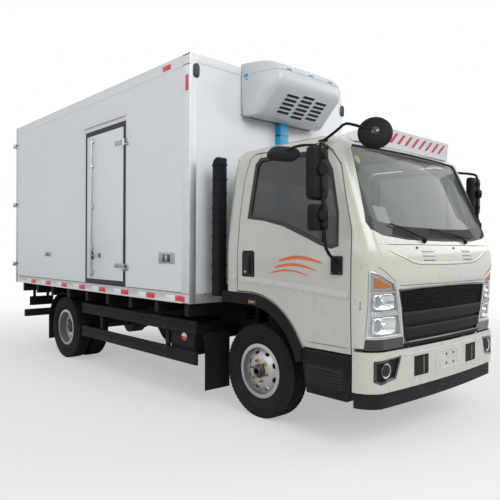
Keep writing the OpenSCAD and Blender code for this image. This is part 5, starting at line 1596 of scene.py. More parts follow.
    # plain sticker and plain paper behind the windshield, on its inner face
    k = Shape()
    ring = [(-0.742 + 0.030 * math.cos(q), 2.050 + 0.030 * math.sin(q))
        for q in [2 * math.pi * i / 24 for i in range(24)]]
    plate(k, ring, on_front, -0.0118, -0.0112, "sticker_yellow", 0.02)
    k.done("round_sticker", "cab", "cab_paint", smooth=60)
    k = Shape()
    plate(k, [(-0.745, 1.56), (-0.600, 1.548), (-0.605, 1.705), (-0.745, 1.712)], on_front, -0.0200,
        -0.0190, "paper", 0.03)
    k.done("plain_note", "cab", "cab_paint", smooth=60)
    # rubber washer jets
    j = Shape()
    for x in (-0.42, 0.12):
        c = on_front(x, 1.405, 0.001)
        j.lathe([(0.0, 0.008), (0.006, 0.007), (0.009, 0.0)], c, (0, -1, 0.4), "black_plastic", n=14)
    j.done("washer_jets", "cab", "black_plastic", smooth=50)


cab_front_details()


def roof_board_marks():
    """Slanted red marks along the face of the white roof board."""
    s = Shape()
    # the face runs from the roof's front up to the board's top edge
    z0, z1 = 2.215, 2.312

    def face(x, z):
        t = (z - 2.198) / (2.320 - 2.198)
        # leans forward, from y -0.80 at its lower edge to -0.88 at its upper edge
        return P(x, -0.800 - 0.080 * t - 0.0015, z)
    for k in range(10):
        x = -0.50 + k * 0.108
        q = [(x, z0 + 0.018), (x + 0.038, z0 + 0.018), (x + 0.058, z1 - 0.012), (x + 0.020, z1 - 0.012)]
        s.prism(q, lambda a, b: face(a, b) + Vector((0, 0.003, 0)), lambda a,
            b: face(a, b) + Vector((0, -0.0008, 0)), "reflex_red")
    s.done("roof_board_marks", "cab", "panel_white", smooth=40)


roof_board_marks()

# ------------------------------------------------------------------ bumper


def bumper_at(x, z, out=0.0):
    """A point on the bumper's face: the cab's outline in plan, drawn straight down."""
    half, front, c = CAB_W, CAB_FRONT, 0.175
    ax = min(abs(x), half - 1e-4)
    k = half - c
    if ax <= k:
        y = front + ax * ax / (2 * BOW)
        n = Vector((ax / BOW, -1, 0)).normalized()
    else:
        cy = corner_y(half, front, c)
        y = cy - math.sqrt(max(c * c - (ax - k) ** 2, 0))
        n = Vector(((ax - k) / c, (y - cy) / c, 0)).normalized()
    p = Vector((ax, y, z)) + n * out
    return P(math.copysign(p.x, x) if x else 0.0, p.y, p.z)


def bumper():
    clean_copy("front_bumper", bevel=0.004, smooth=40, angle=40)
    clean_copy("bumper_lip", bevel=0.003, smooth=40, angle=40)
    s = Shape()
    # fog lamps in dark frames, the opening an upturned trapezium with an arm towards the middle
    for e in (1, -1):
        def at(x, z, out=0.0):
            p = bumper_at(x, z, out)
            p.x *= e
            return p
        outline = [(0.700, 0.505), (0.860, 0.480), (0.905, 0.500), (0.905, 0.640), (0.640, 0.655),
            (0.650, 0.625)]
        inner = inset_outline(outline, 0.016)
        n = len(outline)
        rows = []
        for i in range(n):
            p, q = Vector(outline[i]), Vector(outline[(i + 1) % n])
            u, v = Vector(inner[i]), Vector(inner[(i + 1) % n])
            for j in range(5):
                t = j / 5
                o, m = p.lerp(q, t), u.lerp(v, t)
                rows.append([at(o.x, o.y, -0.011), at(o.x, o.y, 0.0022),
                    at((o.x + m.x) / 2, (o.y + m.y) / 2, 0.0035), at(m.x, m.y, -0.002),
                    at(m.x, m.y, -0.03)])
        s.grid(rows, "gloss_black", close_u=True)
        plate(s, inner, at, -0.034, -0.028, "black_plastic", 0.04)
        for i, cx in enumerate((0.795,)):
            c = at(cx, 0.566, -0.022)
            d = ((at(cx, 0.566, 0.01) - at(cx, 0.566, 0)).normalized() * 0.4
                + Vector((0, -1, 0)) * 0.6).normalized()
            s.lathe([(0.0, -0.004), (0.02, -0.002), (0.046, 0.012), (0.050, 0.013)], c, d, "chrome", n=36)
            s.lathe([(0.050, 0.0), (0.050, 0.015), (0.058, 0.017), (0.060, 0.010), (0.060, -0.004)], c, d,
                "gloss_black", n=36)
            s.lathe([(0.0, 0.0205), (0.025, 0.0190), (0.049, 0.0140)], c, d, "lamp_lens", n=36)
            s.lathe([(0.0, 0.010), (0.007, 0.009), (0.009, 0.0)], c, d, "chrome", n=14)
        # tow window liner with a pin, in a broad black surround; the opening is filled with a dark sheet of
        # painted shade
        wl = (0.341, 0.439)
        for xa, xb, za, zb in ((0.298, 0.343, 0.490, 0.632), (0.437, 0.482, 0.490, 0.632),
                (0.343, 0.437, 0.490, 0.502), (0.343, 0.437, 0.620, 0.632)):
            plate(s, [(xa, za), (xb, za), (xb, zb), (xa, zb)], at, -0.001, 0.0022, "black_plastic", 0.03)
        # dark sheet in the opening: painted shade
        s.prism([(wl[0], 0.498), (wl[1], 0.498), (wl[1], 0.624), (wl[0], 0.624)], lambda x,
            z: at(x, z, -0.018), lambda x, z: at(x, z, -0.0125), "black_and_painted_shade")
        s.rod(at(0.390, 0.505, -0.016) + Vector((0, 0.0, 0)), at(0.390, 0.62, -0.016), 0.006, "frame_black",
            n=12)
    s.done("bumper_lamps", "chassis", "black_plastic", smooth=40, merge=1e-6)
    # pad for the number plate with a rim, and a fold line along the bumper
    k = Shape()
    # upper fold, a step that catches the light
    xs = [i * 0.965 / 26 for i in range(-26, 27)]
    rows = [[bumper_at(x, 0.664, -0.001), bumper_at(x, 0.655, 0.003), bumper_at(x, 0.649, 0.0032),
        bumper_at(x, 0.640, -0.001)] for x in xs if abs(x) < 0.60]
    k.grid(rows, "cab_paint")
    pad = [(-0.185, 0.487), (0.245, 0.487), (0.258, 0.50), (0.258, 0.626), (0.245, 0.638), (-0.185, 0.638),
        (-0.198, 0.626), (-0.198, 0.50)]
    rin = inset_outline(pad, 0.012)
    n = len(pad)
    rows = []
    for i in range(n):
        for j in range(4):
            t = j / 4
            o = Vector(pad[i]).lerp(Vector(pad[(i + 1) % n]), t)
            m = Vector(rin[i]).lerp(Vector(rin[(i + 1) % n]), t)
            rows.append([bumper_at(o.x, o.y, -0.001), bumper_at((o.x * 3 + m.x) / 4, (o.y * 3 + m.y) / 4,
                0.003), bumper_at((o.x + 3 * m.x) / 4, (o.y + 3 * m.y) / 4, 0.003),
                bumper_at(m.x, m.y, -0.001)])
    k.grid(rows, "cab_paint", close_u=True)
    k.done("bumper_folds", "chassis", "cab_paint", smooth=50)
    # dark bushes in the four holes of the plate's seat
    h = Shape()
    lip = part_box("front_bumper")[0].y
    for x in (-0.025, 0.085):
        for z in (0.525, 0.595):
            h.lathe([(0.0105, 0.0), (0.0105, 0.0022), (0.0075, 0.0028), (0.0042, 0.0022), (0.0042, -0.010)],
                Vector((x, lip + 0.003, z)), (0, -1, 0), "gloss_black", n=20)
    h.done("plate_bushes", "chassis", "black_plastic", smooth=40)


bumper()

# ------------------------------------------------------------------ doors


def door_details(side):
    name = hand(side)
    body = f"{name}_door"
    s = Shape()

    def at(y, z, out=0.0):
        return on_side(side, y, z, out)
    # window seal round the opening
    win = [(0.078, 1.648), (-0.120, 1.622), (-0.320, 1.575), (-0.560, 1.482), (-0.700, 1.425),
        (-0.790, 1.402), (-0.850, 1.418), (-0.835, 1.650), (-0.755, 1.970), (-0.690, 2.070),
        (-0.600, 2.122), (-0.010, 2.135), (0.035, 2.090)]
    n = len(win)
    inn = inset_outline(win, 0.022)
    out = inset_outline(win, -0.006)
    rows = []
    for i in range(n):
        k = max(1, int((Vector(win[i]) - Vector(win[(i + 1) % n])).length / 0.05))
        for j in range(k):
            t = j / k
            o = Vector(out[i]).lerp(Vector(out[(i + 1) % n]), t)
            w = Vector(win[i]).lerp(Vector(win[(i + 1) % n]), t)
            m = Vector(inn[i]).lerp(Vector(inn[(i + 1) % n]), t)
            rows.append([at(o.x, o.y, -0.001), at(o.x, o.y, 0.0025), at(w.x, w.y, 0.0035),
                at(m.x, m.y, -0.002), at(m.x, m.y, -0.013)])
    s.grid(rows, "rubber", close_u=True)
    # divider bar of the window's fixed front corner
    s.sweep([at(-0.690, 1.428, -0.004), at(-0.690, 1.70, -0.004), at(-0.690, 2.060, -0.004)], 0.013,
        "rubber", n=8, flat=0.5)
    # recess of the handle, a black plate with a darker inner plate of painted shade, and a pull bar
    rec = [(-0.020, 1.165), (0.115, 1.165), (0.118, 1.180), (0.118, 1.362), (0.105, 1.378), (-0.008, 1.378),
        (-0.022, 1.362), (-0.024, 1.180)]
    plate(s, rec, at, -0.001, 0.0035, "black_plastic", 0.04)
    rin = inset_outline(rec, 0.012)
    # darker inner plate: painted shade of the recess
    plate(s, rin, at, 0.0034, 0.0042, "black_and_painted_shade", 0.04)
    s.sweep([at(0.022, 1.195, 0.004), at(0.022, 1.205, 0.018), at(0.022, 1.27, 0.021),
        at(0.022, 1.335, 0.018), at(0.022, 1.348, 0.004)], [0.012, 0.012, 0.011, 0.012, 0.012],
        "black_plastic", n=12, flat=0.55)
    c = at(0.080, 1.205, 0.004)
    s.lathe([(0.0, 0.004), (0.010, 0.0035), (0.012, 0.0)], c, (side, 0, 0), "stainless", n=18)
    # black rubbing line low on the door above the sill
    s.sweep([at(y, 0.712, 0.001) for y in [-0.93 + i * 0.05 for i in range(8)]], 0.0016, "rubber", n=6)
    s.done(f"{name}_door_details", body, "black_plastic", smooth=45)
    # fold along the door, raised like a pressed crease
    k = Shape()
    def crease(y):
        return 1.054 + (y + 0.954) * (1.110 - 1.054) / 0.714 if y < -0.24 else 1.110 + (y + 0.24) * (1.137
            - 1.110) / 0.59
    ys = [-0.940 + i * 0.035 for i in range(32)]
    ys = [y for y in ys if y < 0.168]
    rows = [[at(y, crease(y) + 0.050, -0.0008), at(y, crease(y) + 0.014, 0.0035), at(y, crease(y), 0.0062),
        at(y, crease(y) - 0.006, 0.0040), at(y, crease(y) - 0.020, -0.0008)] for y in ys]
    k.grid(rows, "cab_paint")
    k.done(f"{name}_door_fold", body, "cab_paint", smooth=50)
    # same fold on the cab behind the door
    b = Shape()
    ys = [0.196, 0.22, 0.25, 0.27]
    rows = [[at(y, crease(y) + 0.050, -0.0008), at(y, crease(y) + 0.014, 0.0035), at(y, crease(y), 0.0062),
        at(y, crease(y) - 0.006, 0.0040), at(y, crease(y) - 0.020, -0.0008)] for y in ys]
    b.grid(rows, "cab_paint")
    b.done(f"{name}_cab_fold", "cab", "cab_paint", smooth=50)
    # plain stripes
    g = Shape()
    for j, (y0, y1, z0, h) in enumerate(((-0.72, -0.30, 1.285, 0.030), (-0.66, -0.26, 1.235, 0.022),
            (-0.60, -0.22, 1.194, 0.014))):
        m = 12
        lo = [(y0 + (y1 - y0) * i / m, z0 + 0.030 * math.sin(math.pi * 0.9 * i / m)) for i in range(m + 1)]
        hi = [(y + 0.012, z + h * (0.25 + 0.75 * math.sin(math.pi * (0.12 + 0.80 * i / m)))) for i,
            (y, z) in enumerate(lo)]
        plate(g, lo + hi[::-1], at, -0.0004, 0.0012, "stripe_orange", 0.05)
    g.done(f"{name}_door_stripes", body, "cab_paint", smooth=60)


both(door_details)


def arch_details(side):
    name = hand(side)
    s = Shape()
    x1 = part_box("wheel_arch_trim")[1].x

    def q(x, y, z):
        return P(side * x, y, z)
    # amber marker on the flare's top and two steps with grip bars
    p = q(x1, 0.0, 0.960)
    s.box(p - Vector((0.004, 0.045, 0.018)), p + Vector((0.004, 0.045, 0.018)), "gloss_black", r=0.004)
    s.box(p - Vector((0.008, 0.036, 0.012)), p + Vector((0.008, 0.036, 0.012)), "amber_lens", r=0.005,
        seg=3)
    for z in (0.470, 0.645):
        for k in range(9):
            y = -0.90 + k * 0.040
            s.box(q(x1 - 0.045, y, z) - Vector((0.028, 0.008, 0.003)),
                q(x1 - 0.045, y, z) + Vector((0.028, 0.008, 0.006)), "black_plastic", r=0.002)
    # recessed tread of the lower step in the side of the valance, drawn as a dark sheet of painted shade
    # with bars across it
    s.prism([(-0.885, 0.405), (-0.575, 0.405), (-0.56, 0.43), (-0.56, 0.545), (-0.885, 0.545)], lambda y,
        z: q(x1 - 0.0235, y, z), lambda y, z: q(x1 - 0.0205, y, z), "black_and_painted_shade")
    for k in range(5):
        z = 0.420 + k * 0.024
        s.sweep([q(x1 - 0.0195, -0.875, z), q(x1 - 0.0185, -0.72, z), q(x1 - 0.0195, -0.575, z)], 0.0035,
            "black_plastic", n=8)
    s.done(f"{name}_arch_details", "cab", "black_plastic", smooth=40)


both(arch_details)

# ------------------------------------------------------------------ mirrors


def shell_box(s, c, size, mat_shell, mat_face):
    """Mirror housing: a soft-cornered shell with its glass set into the face that looks back."""
    w, d, h = size
    e = 0.28
    rows = []
    n = 40
    for t, k in ((-0.5, 0.72), (-0.42, 0.88), (-0.25, 0.97), (0.0, 1.0), (0.38, 1.0), (0.5, 0.985),
            (0.5, 0.93)):
        row = []
        for i in range(n):
            a = 2 * math.pi * i / n
            ca, sa = math.cos(a), math.sin(a)
            x = math.copysign(abs(ca) ** e, ca) * w / 2 * k
            z = math.copysign(abs(sa) ** e, sa) * h / 2 * (k if k > 0.9 else k + 0.06)
            row.append(c + Vector((x, t * d, z)))
        rows.append(row)
    vs = s.grid(rows, mat_shell, close_v=True)
    s.cap(vs[0][::-1], mat_shell)
    inner = []
    for t, k in ((0.5, 0.93), (0.40, 0.925), (0.40, 0.0)):
        row = []
        for i in range(n):
            a = 2 * math.pi * i / n
            ca, sa = math.cos(a), math.sin(a)
            row.append(c + Vector((math.copysign(abs(ca) ** e, ca) * w / 2 * k, t * d,
                math.copysign(abs(sa) ** e, sa) * h / 2 * k)))
        inner.append(row)
    s.grid(inner[:2], mat_shell, close_v=True)
    vv = [s.bm.verts.new(p) for p in inner[1]]
    f = s.bm.faces.new(vv)
    f.material_index = s.slot(mat_face)


def side_mirrors(side):
    name = hand(side)
    s = Shape()

    def q(x, y, z):
        return P(side * x, y, z)
    # foot with its bolts on the door
    s.box(P(side * (CAB_W + 0.0005), -0.895, 1.215), P(side * (CAB_W + 0.016), -0.800, 1.345),
        "black_plastic", r=0.005, seg=3)
    for y, z in ((-0.88, 1.23), (-0.815, 1.23), (-0.88, 1.33), (-0.815, 1.33)):
        s.rod(q(CAB_W + 0.015, y, z), q(CAB_W + 0.019, y, z), 0.007, "cast_grey", n=6)
    # tube frame with smooth bends
    pts = [(CAB_W + 0.020, -0.850, 1.300), (1.03, -0.858, 1.325), (1.09, -0.868, 1.36),
        (1.13, -0.876, 1.395), (1.148, -0.880, 1.43), (1.154, -0.880, 1.49), (1.160, -0.876, 1.60),
        (1.168, -0.870, 1.80), (1.176, -0.863, 2.0), (1.178, -0.860, 2.075), (1.172, -0.857, 2.100),
        (1.150, -0.845, 2.112), (1.10, -0.816, 2.118), (1.0, -0.75, 2.124), (CAB_W - 0.070, -0.690, 2.128)]
    s.sweep([q(*p) for p in pts], 0.0115, "black_plastic", n=12)
    s.lathe([(0.0, 0.012), (0.014, 0.010), (0.018, 0.002), (0.018, 0.0)], q(CAB_W - 0.079, -0.690, 2.128),
        (side, 0, 0.2), "black_plastic", n=20)
    # clamps that hold the housings
    for z in (1.56, 1.66, 1.80, 2.02):
        s.box(q(1.163, -0.874, z) - Vector((0.020, 0.018, 0.018)),
            q(1.163, -0.854, z) + Vector((0.020, 0.018, 0.018)), "black_plastic", r=0.006)
    for z, r in ((1.925, 0.040), (1.620, 0.037)):
        disc = [(0.0, 0.030), (r * 0.80, 0.0295), (r * 0.84, 0.0275), (r * 0.90, 0.0285), (r, 0.022),
            (r, -0.006), (r * 0.6, -0.014), (0.0, -0.014)]
        s.lathe(disc, q(1.170, -0.872, z), (side * 0.60, -0.80, 0), "black_plastic", n=36)
    shell_box(s, q(1.1675, -0.833, 1.905), (0.175, 0.066, 0.36), "black_plastic", "mirror")
    shell_box(s, q(1.165, -0.8365, 1.605), (0.160, 0.063, 0.18), "black_plastic", "mirror")
    s.done(f"{name}_mirror_set", f"{name}_door", "black_plastic", smooth=50, nodes=(f"{name}_mirrors",))


both(side_mirrors)


def front_mirror():
    s = Shape()
    foot = (-CAB_W + 0.0877, -0.650, 2.1906)
    path = [foot, (-0.905, -0.72, 2.207), (-0.93, -0.81, 2.235), (-0.955, -0.880, 2.257),
        (-0.957, -0.908, 2.260), (-0.948, -0.930, 2.256), (-0.915, -0.970, 2.241), (-0.880, -1.015, 2.224),
        (-0.852, -1.047, 2.211)]
    s.sweep([P(*p) for p in path], 0.0100, "black_plastic", n=12)
    s.box(P(foot[0] - 0.016, foot[1] - 0.035, foot[2] - 0.006),
        P(foot[0] + 0.012, foot[1] + 0.035, foot[2] + 0.008), "black_plastic", r=0.005)
    c = P(-0.834, -1.057, 2.197)
    m = Matrix.Rotation(math.radians(36.5), 4, "Z") @ Matrix.Rotation(math.radians(105), 4, "Y")
    axis = (m @ Vector((0, 0, 1))).normalized()
    s.lathe([(0.0, -0.025), (0.060, -0.0235), (0.095, -0.017), (0.112, -0.004), (0.118, 0.010),
        (0.118, 0.020), (0.115, 0.025), (0.107, 0.025), (0.106, 0.018)], c, axis, "black_plastic", n=56)
    s.lathe([(0.0, 0.021), (0.06, 0.0195), (0.106, 0.0165)], c, axis, "mirror", n=56)
    # boss on the shell's back with the clamp of the arm
    s.lathe([(0.0, 0.012), (0.016, 0.011), (0.030, 0.004), (0.036, -0.004)], c - axis * 0.020, -axis,
        "gloss_black", n=30)
    s.ball(P(-0.860, -1.042, 2.212), 0.017, "black_plastic", n=18)
    s.done("front_mirror_round", "cab", "black_plastic", smooth=50, nodes=("front_mirror",))


front_mirror()

# ------------------------------------------------------------------ inside the cab


def cushion(name, lo, hi, crown, channels):
    """Crowned pad: sides pull in between its corners, a welt round its edge, sewn channels along it."""
    lo, hi = Vector(lo), Vector(hi)
    c, h = (lo + hi) / 2, (hi - lo) / 2
    nu, nv = 28, 22

    def spread(i, count):
        return math.sin((i / count - 0.5) * math.pi) * 0.5 + (i / count * 2 - 1) * 0.5

    def shape(u, v, top):
        # u, v from -1 to 1; a super-ellipse edge, pulled in along the middle of each side
        pull_x = 1 - 0.030 * (1 - v * v)
        pull_y = 1 - 0.035 * (1 - u * u)
        edge = max(abs(u), abs(v))
        e = (1 - max(0.0, (edge - 0.80) / 0.20) ** 2.2)
        dome = (1 - (abs(u) ** 3.0)) * (1 - (abs(v) ** 3.0))
        z = h.z * (0.42 + 0.58 * e) + crown * dome * (1 if top else 0.0)
        if top:
            for k in channels:
                d = abs(u - k) / 0.045
                if d < 1:
                    z -= 0.010 * (1 - d) ** 1.5 * (1 - abs(v) ** 6)
            d = abs(v - 0.25) / 0.05
            if channels and d < 1 and abs(u) < 0.97:
                z -= 0.006 * (1 - d) ** 1.5
        return Vector((c.x + u * h.x * pull_x, c.y + v * h.y * pull_y, c.z + (z if top else -z)))
    s = Shape()
    rims = []
    for top in (True, False):
        rows = []
        for i in range(nu + 1):
            u = spread(i, nu)
            rows.append([shape(u, spread(j, nv), top) for j in range(nv + 1)])
        s.grid(rows, "seat_fabric")
        rims.append([rows[i][0] for i in range(nu + 1)] + [rows[nu][j] for j in range(1, nv + 1)]
            + [rows[i][nv] for i in range(nu - 1, -1, -1)] + [rows[0][j] for j in range(nv - 1, 0, -1)])
    s.grid(rims, "seat_fabric", close_v=True)
    welt = [a.lerp(b, 0.25) for a, b in zip(*rims)]
    s.sweep(welt + [welt[0]], 0.004, "rubber", n=6)
    o = s.done(name, "cab", "seat_fabric", smooth=70)
    return o


def seats():
    bases = Shape()
    ch = (-0.33, 0.33)
    for nm, x0, x1 in (("driver", 0.220, 0.700), ("passenger", -0.720, -0.305), ("middle", -0.290, 0.120)):
        cushion(f"{nm}_seat_cushion", P(x0 + 0.006, -0.325, 1.098), P(x1 - 0.006, 0.060, 1.186), 0.010, ch)
        # backrest: built lying down, then stood up with its lean
        o = cushion(f"{nm}_seat_back", (x0 + 0.008, -0.27, -0.036), (x1 - 0.008, 0.27, 0.036), 0.008, ch)
        me = o.data
        lean = math.radians(12)
        # the pad's Y becomes up and its top faces forward
        m = Matrix.Translation(P(0, 0.176, 1.475)) @ Matrix.Rotation(-lean, 4,
            "X") @ Matrix.Rotation(math.radians(90), 4, "X")
        me.transform(m)
        me.update()
        # base and plate under the cushion, and a short bar inside the space the backrest's solid holds
        bases.box(P(x0 + 0.034, -0.196, 1.0006), P(x1 - 0.034, 0.096, 1.092), "interior_grey", r=0.012)
        bases.box(P(x0 + 0.010, -0.318, 1.090), P(x1 - 0.010, 0.115, 1.102), "interior_grey", r=0.005)
        bases.rod(P((x0 + x1) / 2 - 0.03, 0.265, 1.72), P((x0 + x1) / 2 + 0.03, 0.265, 1.72), 0.010,
            "interior_grey")
    # recliner plates
    for x in (0.212, 0.698, -0.728, 0.112):
        bases.box(P(x, 0.055, 1.13), P(x + 0.010, 0.150, 1.24), "interior_grey", r=0.004)
    bases.done("seat_bases", "cab", "seat_fabric", smooth=40, nodes=("seats",))


seats()


def interior():
    s = Shape()
    # instrument hood, vents, screen and knobs on the dashboard's rear face
    s.box(P(0.30, -0.845, 1.355), P(0.60, -0.780, 1.405), "interior_grey", r=0.018, seg=3)
    s.box(P(0.325, -0.781, 1.300), P(0.575, -0.772, 1.372), "gloss_black", r=0.006)
    for x in (0.385, 0.515):
        s.lathe([(0.0, 0.003), (0.026, 0.003), (0.029, 0.006), (0.032, 0.004), (0.032, 0.0)],
            P(x, -0.773, 1.335), (0, 1, 0), "interior_grey", n=24)
    s.box(P(-0.10, -0.786, 1.27), P(0.14, -0.774, 1.365), "gloss_black", r=0.006)
    for x in (-0.70, -0.28, 0.72):
        s.box(P(x - 0.06, -0.790, 1.300), P(x + 0.06, -0.778, 1.350), "gloss_black", r=0.005)
        for k in range(5):
            s.box(P(x - 0.055, -0.780, 1.306 + k * 0.009), P(x + 0.055, -0.775, 1.309 + k * 0.009),
                "interior_grey", r=0.001)
    for k in range(4):
        s.lathe([(0.0, 0.016), (0.011, 0.015), (0.013, 0.0)], P(-0.06 + k * 0.055, -0.774, 1.225),
            (0, 1, 0), "interior_grey", n=16)
    # gear lever
    s.sweep([P(0.12, -0.62, 1.04), P(0.12, -0.60, 1.20), P(0.125, -0.57, 1.28)], 0.008, "interior_grey",
        n=10)
    s.ball(P(0.125, -0.565, 1.30), 0.024, "gloss_black", n=16)
    s.lathe([(0.06, 0.0), (0.045, 0.03), (0.02, 0.06), (0.012, 0.065)], P(0.12, -0.62, 1.00), (0, 0, 1),
        "rubber", n=20)
    s.done("dashboard_controls", "cab", "black_plastic", smooth=40)
    # sun visors with their rods
    v = Shape()
    for e in (1, -1):
        v.box(P(e * 0.42 - 0.20, -0.700, 2.085), P(e * 0.42 + 0.20, -0.585, 2.100), "interior_grey",
            r=0.007)
        v.rod(P(e * 0.42 - 0.2, -0.700, 2.098), P(e * 0.42 + 0.2, -0.700, 2.098), 0.006, "interior_grey",
            n=10)
        for q in (-0.15, 0.15):
            v.rod(P(e * 0.42 + q, -0.66, 2.098), P(e * 0.42 + q, -0.66, 2.150), 0.005, "interior_grey", n=8)
    v.done("sun_visors", "cab", "black_plastic", smooth=40)


interior()

# ------------------------------------------------------------------ more on the chassis


def snorkel():
    """Ribbed air duct behind the cab, its top rounded over, with the pipe that runs down to the frame."""
    s = Shape()
    x0, x1 = -0.9895, -0.9005
    prof = [(0.4005, 0.980), (0.4895, 0.980)] + arc(0.4295, 2.130, 0.060, 0, 90, 8) + [(0.4100, 2.190),
        (0.4025, 2.186), (0.4005, 2.178)]
    s.prism(prof, lambda y, z: P(x0, y, z), lambda y, z: P(x1, y, z), "black_plastic")
    for k in range(37):
        z = 0.998 + k * 0.0312
        wide = 0.0045 if k % 4 == 0 else 0.0
        s.box(P(x0 - 0.0015 - wide, 0.399 - wide, z), P(x1 + 0.0015 + wide, 0.4905 + wide, z + 0.013),
            "black_plastic", r=0.003)
    s.box(P(-0.900, 0.4205, 1.0005), P(-0.480, 0.4695, 1.0795), "black_plastic", r=0.012, seg=3)
    s.box(P(-0.4795, 0.4205, 0.7005), P(-0.3505, 0.4695, 1.0795), "black_plastic", r=0.012, seg=3)
    for x in (-0.86, -0.50):
        s.box(P(x - 0.010, 0.4190, 0.9990), P(x + 0.010, 0.4710, 1.0810), "stainless", r=0.006)
    s.done("snorkel_ribbed", "chassis", "black_plastic", smooth=35, nodes=("intake_duct",), merge=1e-6)


snorkel()


def kerb_mirror():
    """Rounded kerb mirror over the right door's window, on its own short arm."""
    s = Shape()
    c = P(-1.120, -0.470, 2.090)
    m = Matrix.Translation(c) @ Matrix.Rotation(math.radians(-38), 4,
        "Y") @ Matrix.Rotation(math.radians(20), 4, "X") @ Matrix.Rotation(math.radians(8), 4, "Z")
    rows = []
    for t, k in ((0.030, 0.0), (0.0295, 0.45), (0.026, 0.75), (0.014, 0.95), (0.0, 1.0), (-0.016, 0.99),
            (-0.0165, 0.93), (-0.012, 0.92), (-0.012, 0.0)):
        row = []
        for i in range(40):
            q = 2 * math.pi * i / 40
            row.append(m @ Vector((math.copysign(abs(math.cos(q)) ** 0.6, math.cos(q)) * 0.076 * k,
                math.copysign(abs(math.sin(q)) ** 0.6, math.sin(q)) * 0.120 * k, t)))
        rows.append(row)
    s.grid(rows[:8], "black_plastic", close_v=True)
    s.grid(rows[7:], "mirror", close_v=True)
    s.sweep([P(-0.985, -0.700, 2.126), P(-1.02, -0.66, 2.140), P(-1.06, -0.60, 2.142),
        P(-1.095, -0.55, 2.130), P(-1.112, -0.51, 2.112)], 0.009, "black_plastic", n=10)
    s.ball(P(-1.112, -0.515, 2.113), 0.015, "black_plastic", n=16)
    s.done("kerb_mirror", "right_door", "black_plastic", smooth=50)


kerb_mirror()


def underbody():
    s = Shape()
    # filler panel with a plain two-colour reflector ahead of the guard
    c = P(-1.002, 0.875, 0.575)
    s.lathe([(0.0, 0.003), (0.036, 0.003), (0.038, 0.0), (0.038, -0.004)], c, (-1, 0, 0), "reflex_white",
        n=32)
    s.prism([(0.036 * math.cos(q), 0.036 * math.sin(q))
        for q in [math.pi + math.pi * i / 16 for i in range(17)]], lambda y, z: c + Vector((-0.0030, y, z)),
        lambda y, z: c + Vector((-0.0038, y, z)), "reflex_red")
    # strap bands round the tank and its cap
    lo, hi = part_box("fuel_tank")
    cz = (lo.z + hi.z) / 2
    for y in (lo.y + (hi.y - lo.y) * 0.22, lo.y + (hi.y - lo.y) * 0.78):
        s.sweep([Vector((hi.x - 0.004, y, lo.z + 0.03)), Vector((hi.x + 0.0015, y, cz)),
            Vector((hi.x - 0.004, y, hi.z - 0.03))], 0.018, "stainless", n=8, flat=0.12, up=(0, 1, 0))
    s.lathe([(0.0, 0.022), (0.034, 0.020), (0.038, 0.012), (0.038, 0.0)],
        Vector((hi.x - 0.06, lo.y + (hi.y - lo.y) * 0.5, hi.z - 0.004)), (0, 0, 1), "gloss_black", n=28)
    # battery cover edge and latch
    lo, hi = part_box("battery_box")
    s.rod(Vector((lo.x + 0.02, lo.y + 0.06, hi.z + 0.001)),
        Vector((lo.x + 0.02, lo.y + 0.44, hi.z + 0.001)), 0.004, "stainless")
    s.done("tank_and_battery_trim", "chassis", "galvanised", smooth=40)


underbody()

# ------------------------------------------------------------------ what is left of the CAD nodes

for node, o in NODES.items():
    if o.hide_render:
        continue
    for sl in o.material_slots:
        sl.material = MAT.get(SLOT_OF[node], MAT["frame_black"])

# ------------------------------------------------------------------ camera, floor and light

cam = bpy.data.cameras.new("camera")
cam_obj = bpy.data.objects.new("camera", cam)
bpy.context.scene.collection.objects.link(cam_obj)
FOCAL_PIXELS, FRAME_PIXELS = 541.5, 500
cam_obj.location = P(-4.049, -3.169, 1.391)
yaw, pitch, roll = math.radians(41.16), math.radians(-0.11), math.radians(-0.27)
cam_obj.rotation_euler = (math.radians(90) + pitch, roll, -yaw)
cam.sensor_width = 36
cam.lens = cam.sensor_width * FOCAL_PIXELS / FRAME_PIXELS
cam.shift_x = 0.052
cam.clip_start = 0.05
cam.clip_end = 200
bpy.context.scene.camera = cam_obj


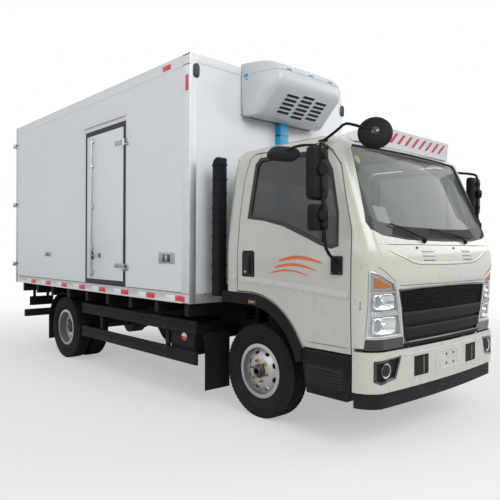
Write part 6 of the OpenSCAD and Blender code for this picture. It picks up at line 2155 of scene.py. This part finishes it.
def floor():
    me = bpy.data.meshes.new("floor")
    bm = bmesh.new()
    bmesh.ops.create_circle(bm, cap_ends=True, segments=64, radius=40)
    bm.to_mesh(me)
    bm.free()
    o = bpy.data.objects.new("floor", me)
    bpy.context.scene.collection.objects.link(o)
    m = bpy.data.materials.new("pale_floor")
    m.use_nodes = True
    t = m.node_tree
    b = t.nodes["Principled BSDF"]
    b.inputs["Base Color"].default_value = (0.80, 0.80, 0.80, 1)
    b.inputs["Roughness"].default_value = 0.9
    b.inputs["Specular IOR Level"].default_value = 0.1
    # what the camera sees is lifted to white, more so away from the truck
    tc = t.nodes.new("ShaderNodeTexCoord")
    ln = t.nodes.new("ShaderNodeVectorMath")
    ln.operation = "LENGTH"
    t.links.new(tc.outputs["Object"], ln.inputs[0])
    far = t.nodes.new("ShaderNodeMapRange")
    far.inputs["From Min"].default_value = 3.0
    far.inputs["From Max"].default_value = 9.0
    far.inputs["To Min"].default_value = 0.42
    far.inputs["To Max"].default_value = 1.0
    t.links.new(ln.outputs["Value"], far.inputs["Value"])
    path = t.nodes.new("ShaderNodeLightPath")
    lift = math_node(t, "MULTIPLY", far.outputs[0], path.outputs["Is Camera Ray"])
    glow = t.nodes.new("ShaderNodeEmission")
    mixer = t.nodes.new("ShaderNodeMixShader")
    t.links.new(lift, mixer.inputs["Fac"])
    t.links.new(b.outputs[0], mixer.inputs[1])
    t.links.new(glow.outputs[0], mixer.inputs[2])
    t.links.new(mixer.outputs[0], t.nodes["Material Output"].inputs["Surface"])
    me.materials.append(m)


floor()

world = bpy.data.worlds.new("soft_light")
bpy.context.scene.world = world
world.use_nodes = True
t = world.node_tree
t.nodes.clear()
out = t.nodes.new("ShaderNodeOutputWorld")
bg = t.nodes.new("ShaderNodeBackground")
cam_bg = t.nodes.new("ShaderNodeBackground")
mix = t.nodes.new("ShaderNodeMixShader")
lp = t.nodes.new("ShaderNodeLightPath")
bg.inputs["Color"].default_value = (0.93, 0.96, 1.0, 1)
bg.inputs["Strength"].default_value = 0.48
cam_bg.inputs["Color"].default_value = (1, 1, 1, 1)
cam_bg.inputs["Strength"].default_value = 1.0
seen = lp.outputs["Is Camera Ray"]
for ray in ("Is Glossy Ray", "Is Transmission Ray"):
    seen = math_node(t, "MAXIMUM", seen, lp.outputs[ray])
t.links.new(seen, mix.inputs["Fac"])
t.links.new(bg.outputs[0], mix.inputs[1])
t.links.new(cam_bg.outputs[0], mix.inputs[2])
t.links.new(mix.outputs[0], out.inputs["Surface"])


def area(name, loc, target, size, power):
    l = bpy.data.lights.new(name, "AREA")
    l.shape = "RECTANGLE"
    l.size, l.size_y = size
    l.energy = power
    o = bpy.data.objects.new(name, l)
    bpy.context.scene.collection.objects.link(o)
    o.location = loc
    o.rotation_euler = (Vector(target) - Vector(loc)).to_track_quat("-Z", "Y").to_euler()


area("key", (-2.5, -9.5, 6.5), (0, -1, 1.5), (6, 5), 470)
area("side", (-9.5, -1.0, 5.0), (0, 0.5, 1.4), (7, 5), 170)
area("fill", (7.0, -6.0, 5.0), (0, 0, 1.2), (6, 5), 150)
area("back", (2.0, 9.0, 6.0), (0, 1, 1.5), (7, 5), 140)

bpy.context.scene.view_settings.view_transform = "Standard"
